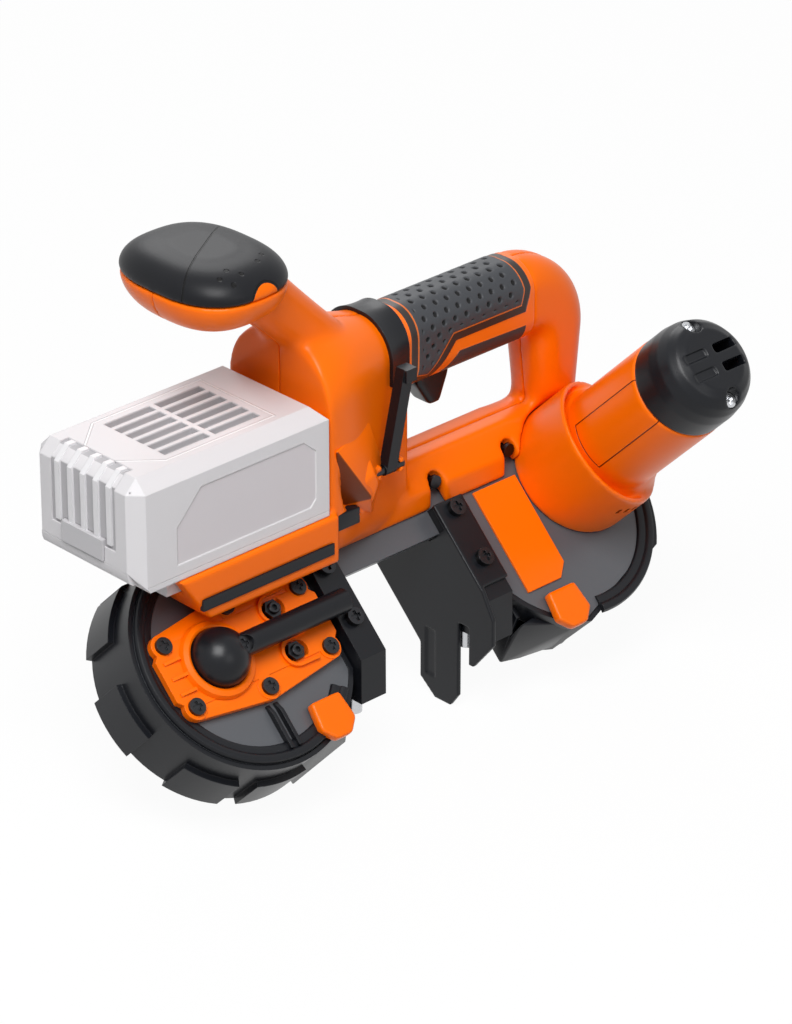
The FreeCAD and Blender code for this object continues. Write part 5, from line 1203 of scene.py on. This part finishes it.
@dataclass
class WheelFrame:
    """The tilted wheel frame: rim lips, the plate's relief, blade guards, latches and the collar."""

    lobe_middles: tuple[float, ...] = (0.0, 216.0)
    lip_turns: Outline = ((112.0, 318.0), (-96.0, 10.0))
    lip_profile: Outline = ((49.6, 0.0), (50.2, 1.2), (52.0, 1.9), (54.0, 1.7), (54.8, 2.6),
                            (56.6, 3.2), (58.4, 2.7), (59.1, 1.4), (59.15, 0.0))
    lip_steps: int = 96
    collar: Outline = ((15.9, 5.4), (15.9, 8.4), (17.2, 9.0), (19.6, 8.2), (20.6, 5.4))
    collar_steps: int = 64
    lever_x: float = -19.6
    boss_places: Outline = ((-43.8, 16.8), (0.0, 22.5), (43.8, 16.8))
    boss: float = 6.4
    apron_inner: float = 15.5
    apron_half: float = 49.0
    apron_heights: tuple[float, float] = (0.2, 5.0)
    stud: tuple[float, float] = (23.5, 11.8)
    rim_radii: tuple[float, float] = (6.6, 8.2)
    rim_leg: float = 11.0
    rim_heights: tuple[float, float] = (5.1, 7.3)
    guards: tuple[tuple[Point, ...], ...] = (
        ((-8.0, -61.0, -6.0), (20.0, -55.5, -6.0), (46.0, -46.0, -6.0), (14.0, -66.0, -37.0),
         (55.0, -58.0, -37.0), (54.0, -48.0, -37.0), (14.0, -60.0, -37.0)),
        ((164.5, -46.0, -6.0), (172.0, -45.0, -6.0), (200.0, -58.6, -6.0), (205.0, -50.0, -6.0),
         (164.0, -55.4, -36.0), (175.6, -57.5, -36.0), (206.0, -60.2, -36.0), (212.0, -53.0, -36.0),
         (164.0, -50.0, -36.0)))
    end_wall: tuple[Point, ...] = ((164.0, -14.0, -6.0), (164.0, -42.0, -6.0), (164.0, -55.0, -36.0),
                                   (164.0, -46.0, -36.0))
    wall_thickness: float = 2.4
    rib_reach: tuple[float, float] = (-39.0, -48.5)
    rib_tops: tuple[float, float] = (7.6, 6.2)
    rib_foot: float = 5.0
    rib_half: float = 0.9
    rib_pitch: float = 8.5
    plate_ribs: int = 3
    socket: Outline = ((1.5, -0.2), (1.5, 1.7), (2.7, 1.7), (3.1, 1.3), (3.1, -0.2))
    socket_steps: int = 32
    clip_bars: tuple[float, float] = (-3.6, 1.6)
    clip_half: float = 1.0
    clip: Outline = ((30.0, 0.2), (30.0, 1.6), (35.0, 3.6), (54.0, 3.6), (54.0, 0.2))

    def swept(self, shop: Workshop, name: str, profile: Sequence[tuple[float, float]], middle: float,
              steps: int, turns: tuple[float, float] = (0.0, 360.0),
              across: float = 0.0) -> Obj:
        """A profile of radius and height swept round an axis that is square to the wheel frame.

        Args:
            shop: where meshes are made.
            name: the object's name.
            profile: radius and height pairs, in millimetres.
            middle: the axis's x in the wheel frame.
            steps: how many steps the sweep has.
            turns: first and last angle, in degrees.
            across: the axis's y in the wheel frame.

        Returns:
            The swept object.
        """
        bm = bmesh.new()
        rings = []
        whole = turns[1] - turns[0] >= 360.0
        for k in range(steps if whole else steps + 1):
            turn = math.radians(turns[0] + (turns[1] - turns[0]) * k / steps)
            c, s = math.cos(turn), math.sin(turn)
            rings.append([bm.verts.new(band_point(middle + r * c, across + r * s, h)) for r, h in profile])
        pairs = list(zip(rings, rings[1:])) + ([(rings[-1], rings[0])] if whole else [])
        for first, second in pairs:
            for k in range(len(profile)):
                n = (k + 1) % len(profile)
                bm.faces.new((first[k], first[n], second[n], second[k]))
        if not whole:
            bm.faces.new(rings[0])
            bm.faces.new(rings[-1])
        return shop.from_bmesh(name, bm)

    def plate_relief(self, shop: Workshop) -> None:
        """Make the plate's aprons between its bosses, the rims round its studs and the black clip."""
        for side, sign in (("far", 1.0), ("near", -1.0)):
            ring = [(x + self.boss * math.cos(turn), sign * (y + self.boss * math.sin(turn)))
                    for x, y in self.boss_places for turn in np.radians(range(0, 181, 15))]
            ring += [(x, sign * self.apron_inner) for x in (-self.apron_half, self.apron_half)]
            corners = [(x, y, z) for x, y in ring for z in self.apron_heights]
            apron = shop.hull(side + "_plate_apron", corners, band_point, soft=0.4)
            shop.trim(apron, Plain.ORANGE_TRIM, "tension_plate")
            x, y = self.stud
            outline = []
            for radius, turns in zip(reversed(self.rim_radii), (range(90, 271, 15), range(270, 89, -15))):
                arc = [(x + radius * math.cos(turn), sign * y + radius * math.sin(turn))
                       for turn in np.radians(turns)]
                first, last = (x + self.rim_leg, arc[0][1]), (x + self.rim_leg, arc[-1][1])
                outline += [first] + arc + [last]
            rim = shop.prism(side + "_stud_rim", outline, *self.rim_heights, band_point)
            shop.trim(rim, Plain.ORANGE_TRIM, "tension_plate", CREASE)
        first = -self.rib_pitch * (self.plate_ribs - 1) / 2
        ribs = shop.hull("plate_ribs", [(x, first + y, z) for x, top in zip(self.rib_reach, self.rib_tops)
                                        for y in (-self.rib_half, self.rib_half)
                                        for z in (self.rib_foot, top)], band_point)
        step = band_point(0.0, self.rib_pitch, 0.0) - band_point(0.0, 0.0, 0.0)
        shop.rows.repeat(ribs, self.plate_ribs, step, shop.plain(Plain.ORANGE_TRIM))
        shop.publish(ribs, rides="tension_plate")
        left, right = self.clip_bars
        bar = shop.hull("latch_clip", [(left + dx, -v, z) for dx in (-self.clip_half, self.clip_half)
                                       for v, z in self.clip], band_point)
        shop.rows.repeat(bar, len(self.clip_bars), Vector(((right - left) * MM, 0.0, 0.0)),
                         shop.plain(Plain.BLACK))
        shop.publish(bar, rides="frame_casting")

    def stud_sockets(self, shop: Workshop) -> None:
        """Make the round sockets on top of the two carriage studs."""
        axis = Matrix.Rotation(TILT, 3, "X") @ Vector((0.0, 0.0, 1.0))
        zero = np.array(WHEEL_ZERO) * MM
        top = float(((points_of(frame["nodes"]["tension_studs"].data) - zero) @ np.array(axis)).max()) / MM
        for side, sign in (("far", 1.0), ("near", -1.0)):
            ring = self.swept(shop, side + "_stud_socket", [(r, top + h) for r, h in self.socket],
                              self.stud[0], self.socket_steps, across=sign * self.stud[1])
            shop.trim(ring, Plain.DARK_STEEL, "tension_studs", ROUND_CREASE)

    def build(self, shop: Workshop) -> None:
        """Make the lips, the relief, the guards, the latches and the collar."""
        for side, middle, turns in zip(("front", "rear"), self.lobe_middles, self.lip_turns):
            lip = self.swept(shop, side + "_rim_lip", self.lip_profile, middle, self.lip_steps, turns)
            shop.trim(lip, Plain.BLACK, "frame_casting", ROUND_CREASE)
        self.plate_relief(shop)
        for side, corners in zip(("front", "rear"), self.guards):
            guard = shop.hull(side + "_blade_guard", corners, band_point, soft=0.8)
            shop.trim(guard, Plain.BLACK, "blade_cover")
        wall = shop.hull("rear_end_wall", [(x + dx, y, z) for x, y, z in self.end_wall
                                           for dx in (0.0, self.wall_thickness)], band_point, soft=0.4)
        shop.trim(wall, Plain.BLACK, "blade_cover")
        self.stud_sockets(shop)
        for node in ("front_cover_latch", "rear_cover_latch"):
            Skin(node, "orange_trim", voxel=0.45, rounds=40,
                 faces=40000).build(shop, shop.plain(Plain.ORANGE_TRIM))
        Skin("work_stop", "black_steel", voxel=0.5, rounds=5,
             faces=120000).build(shop, shop.plain(Plain.BLACK_COAT))
        collar = self.swept(shop, "lever_collar", self.collar, self.lever_x, self.collar_steps)
        shop.trim(collar, Plain.ORANGE_TRIM, "tension_plate", ROUND_CREASE)


@dataclass
class Studio:
    """The pale floor, the lights and the photograph's camera."""

    azimuth: float = -43.5
    elevation: float = 27.6
    distance: float = 2400.0
    pixels_per_mm: float = 2.05
    image: tuple[int, int] = (792, 1024)
    target_pixel: tuple[float, float] = (241.9, 650.9)
    sensor: float = 36.0
    view_end: float = 20.0
    # Each soft box: its name, its place and its side in metres, and its power in watts
    lamps: tuple[tuple[str, Point, float, float], ...] = (("key", (-1.0, -0.8, 1.9), 1.2, 52.0),
                                                          ("front", (-0.2, -2.0, 0.9), 1.0, 4.0),
                                                          ("rear", (0.9, 1.5, 1.5), 1.0, 12.0))
    aim: Point = (0.0, 0.0, 0.1)
    room_colour: Colour = (0.95, 0.97, 1.0)
    room_light: float = 0.16
    floor_height: float = -31.0
    floor_half: float = 6.0
    floor_grey: Colour = (0.5, 0.5, 0.5)
    floor_glow: float = 1.05
    floor_share: float = 0.9

    def camera(self) -> None:
        """Set the camera so that the wheel frame's zero falls on its pixel."""
        a, e = math.radians(self.azimuth), math.radians(self.elevation)
        back = Vector((math.sin(a) * math.cos(e), -math.cos(a) * math.cos(e), math.sin(e)))
        right = Vector((math.cos(a), math.sin(a), 0.0))
        up = back.cross(right)
        off_x = (self.target_pixel[0] - self.image[0] / 2) / self.pixels_per_mm
        off_y = -(self.target_pixel[1] - self.image[1] / 2) / self.pixels_per_mm
        place = WHEEL_ZERO + back * self.distance - right * off_x - up * off_y
        data = bpy.data.cameras.new("photo_camera")
        data.sensor_fit = "VERTICAL"
        data.sensor_height = self.sensor
        data.lens = self.pixels_per_mm * self.distance / self.image[1] * self.sensor
        data.clip_end = self.view_end
        camera = bpy.data.objects.new("photo_camera", data)
        turn = Matrix((right, up, back)).transposed().to_4x4()
        camera.matrix_world = Matrix.Translation(place * MM) @ turn
        bpy.context.collection.objects.link(camera)
        bpy.context.scene.camera = camera

    def lights(self) -> None:
        """Hang the soft boxes and set the even light of the room, which looks white itself."""
        for name, place, size, power in self.lamps:
            data = bpy.data.lights.new(name, "AREA")
            data.energy = power
            data.size = size
            lamp = bpy.data.objects.new(name, data)
            lamp.location = place
            lamp.rotation_euler = (Vector(self.aim) - Vector(place)).to_track_quat("-Z", "Y").to_euler()
            bpy.context.collection.objects.link(lamp)
        world = Shader("studio", bpy.data.worlds)
        room = world.node("ShaderNodeBackground", inputs={"Color": self.room_colour,
                                                          "Strength": self.room_light})
        white = world.node("ShaderNodeBackground", inputs={"Color": WHITE, "Strength": 1.0})
        world.backdrop("ShaderNodeOutputWorld", 1.0, room, white)
        bpy.context.scene.world = world.owner

    def floor(self) -> None:
        """Lay a wide pale floor under the saw."""
        bm = bmesh.new()
        bmesh.ops.create_grid(bm, x_segments=1, y_segments=1, size=self.floor_half)
        bmesh.ops.translate(bm, verts=bm.verts, vec=(0, 0, self.floor_height * MM))
        mesh = bpy.data.meshes.new("floor")
        bm.to_mesh(mesh)
        bm.free()
        floor = bpy.data.objects.new("floor", mesh)
        bpy.context.collection.objects.link(floor)
        shader = Shader("pale_floor")
        matt = shader.node("ShaderNodeBsdfDiffuse", inputs={"Color": self.floor_grey})
        white = shader.node("ShaderNodeEmission", inputs={"Color": WHITE, "Strength": self.floor_glow})
        shader.backdrop("ShaderNodeOutputMaterial", self.floor_share, matt, white)
        dress(floor, shader.owner)

    def build(self) -> None:
        """Set up camera, lights and floor."""
        self.camera()
        self.lights()
        self.floor()
        bpy.context.scene.view_settings.view_transform = "Standard"
        LOG.info("studio set")


def main() -> None:
    """Dress the saw piece by piece and set up the studio."""
    logging.basicConfig(level=logging.INFO, format="%(name)s: %(message)s")
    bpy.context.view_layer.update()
    shop = Workshop()
    shop.dress_nodes()
    for assembly in (Handle(), Motor(), BatteryPack(), WheelFrame()):
        assembly.build(shop)
    Studio().build()


if __name__ == "__main__":
    main()
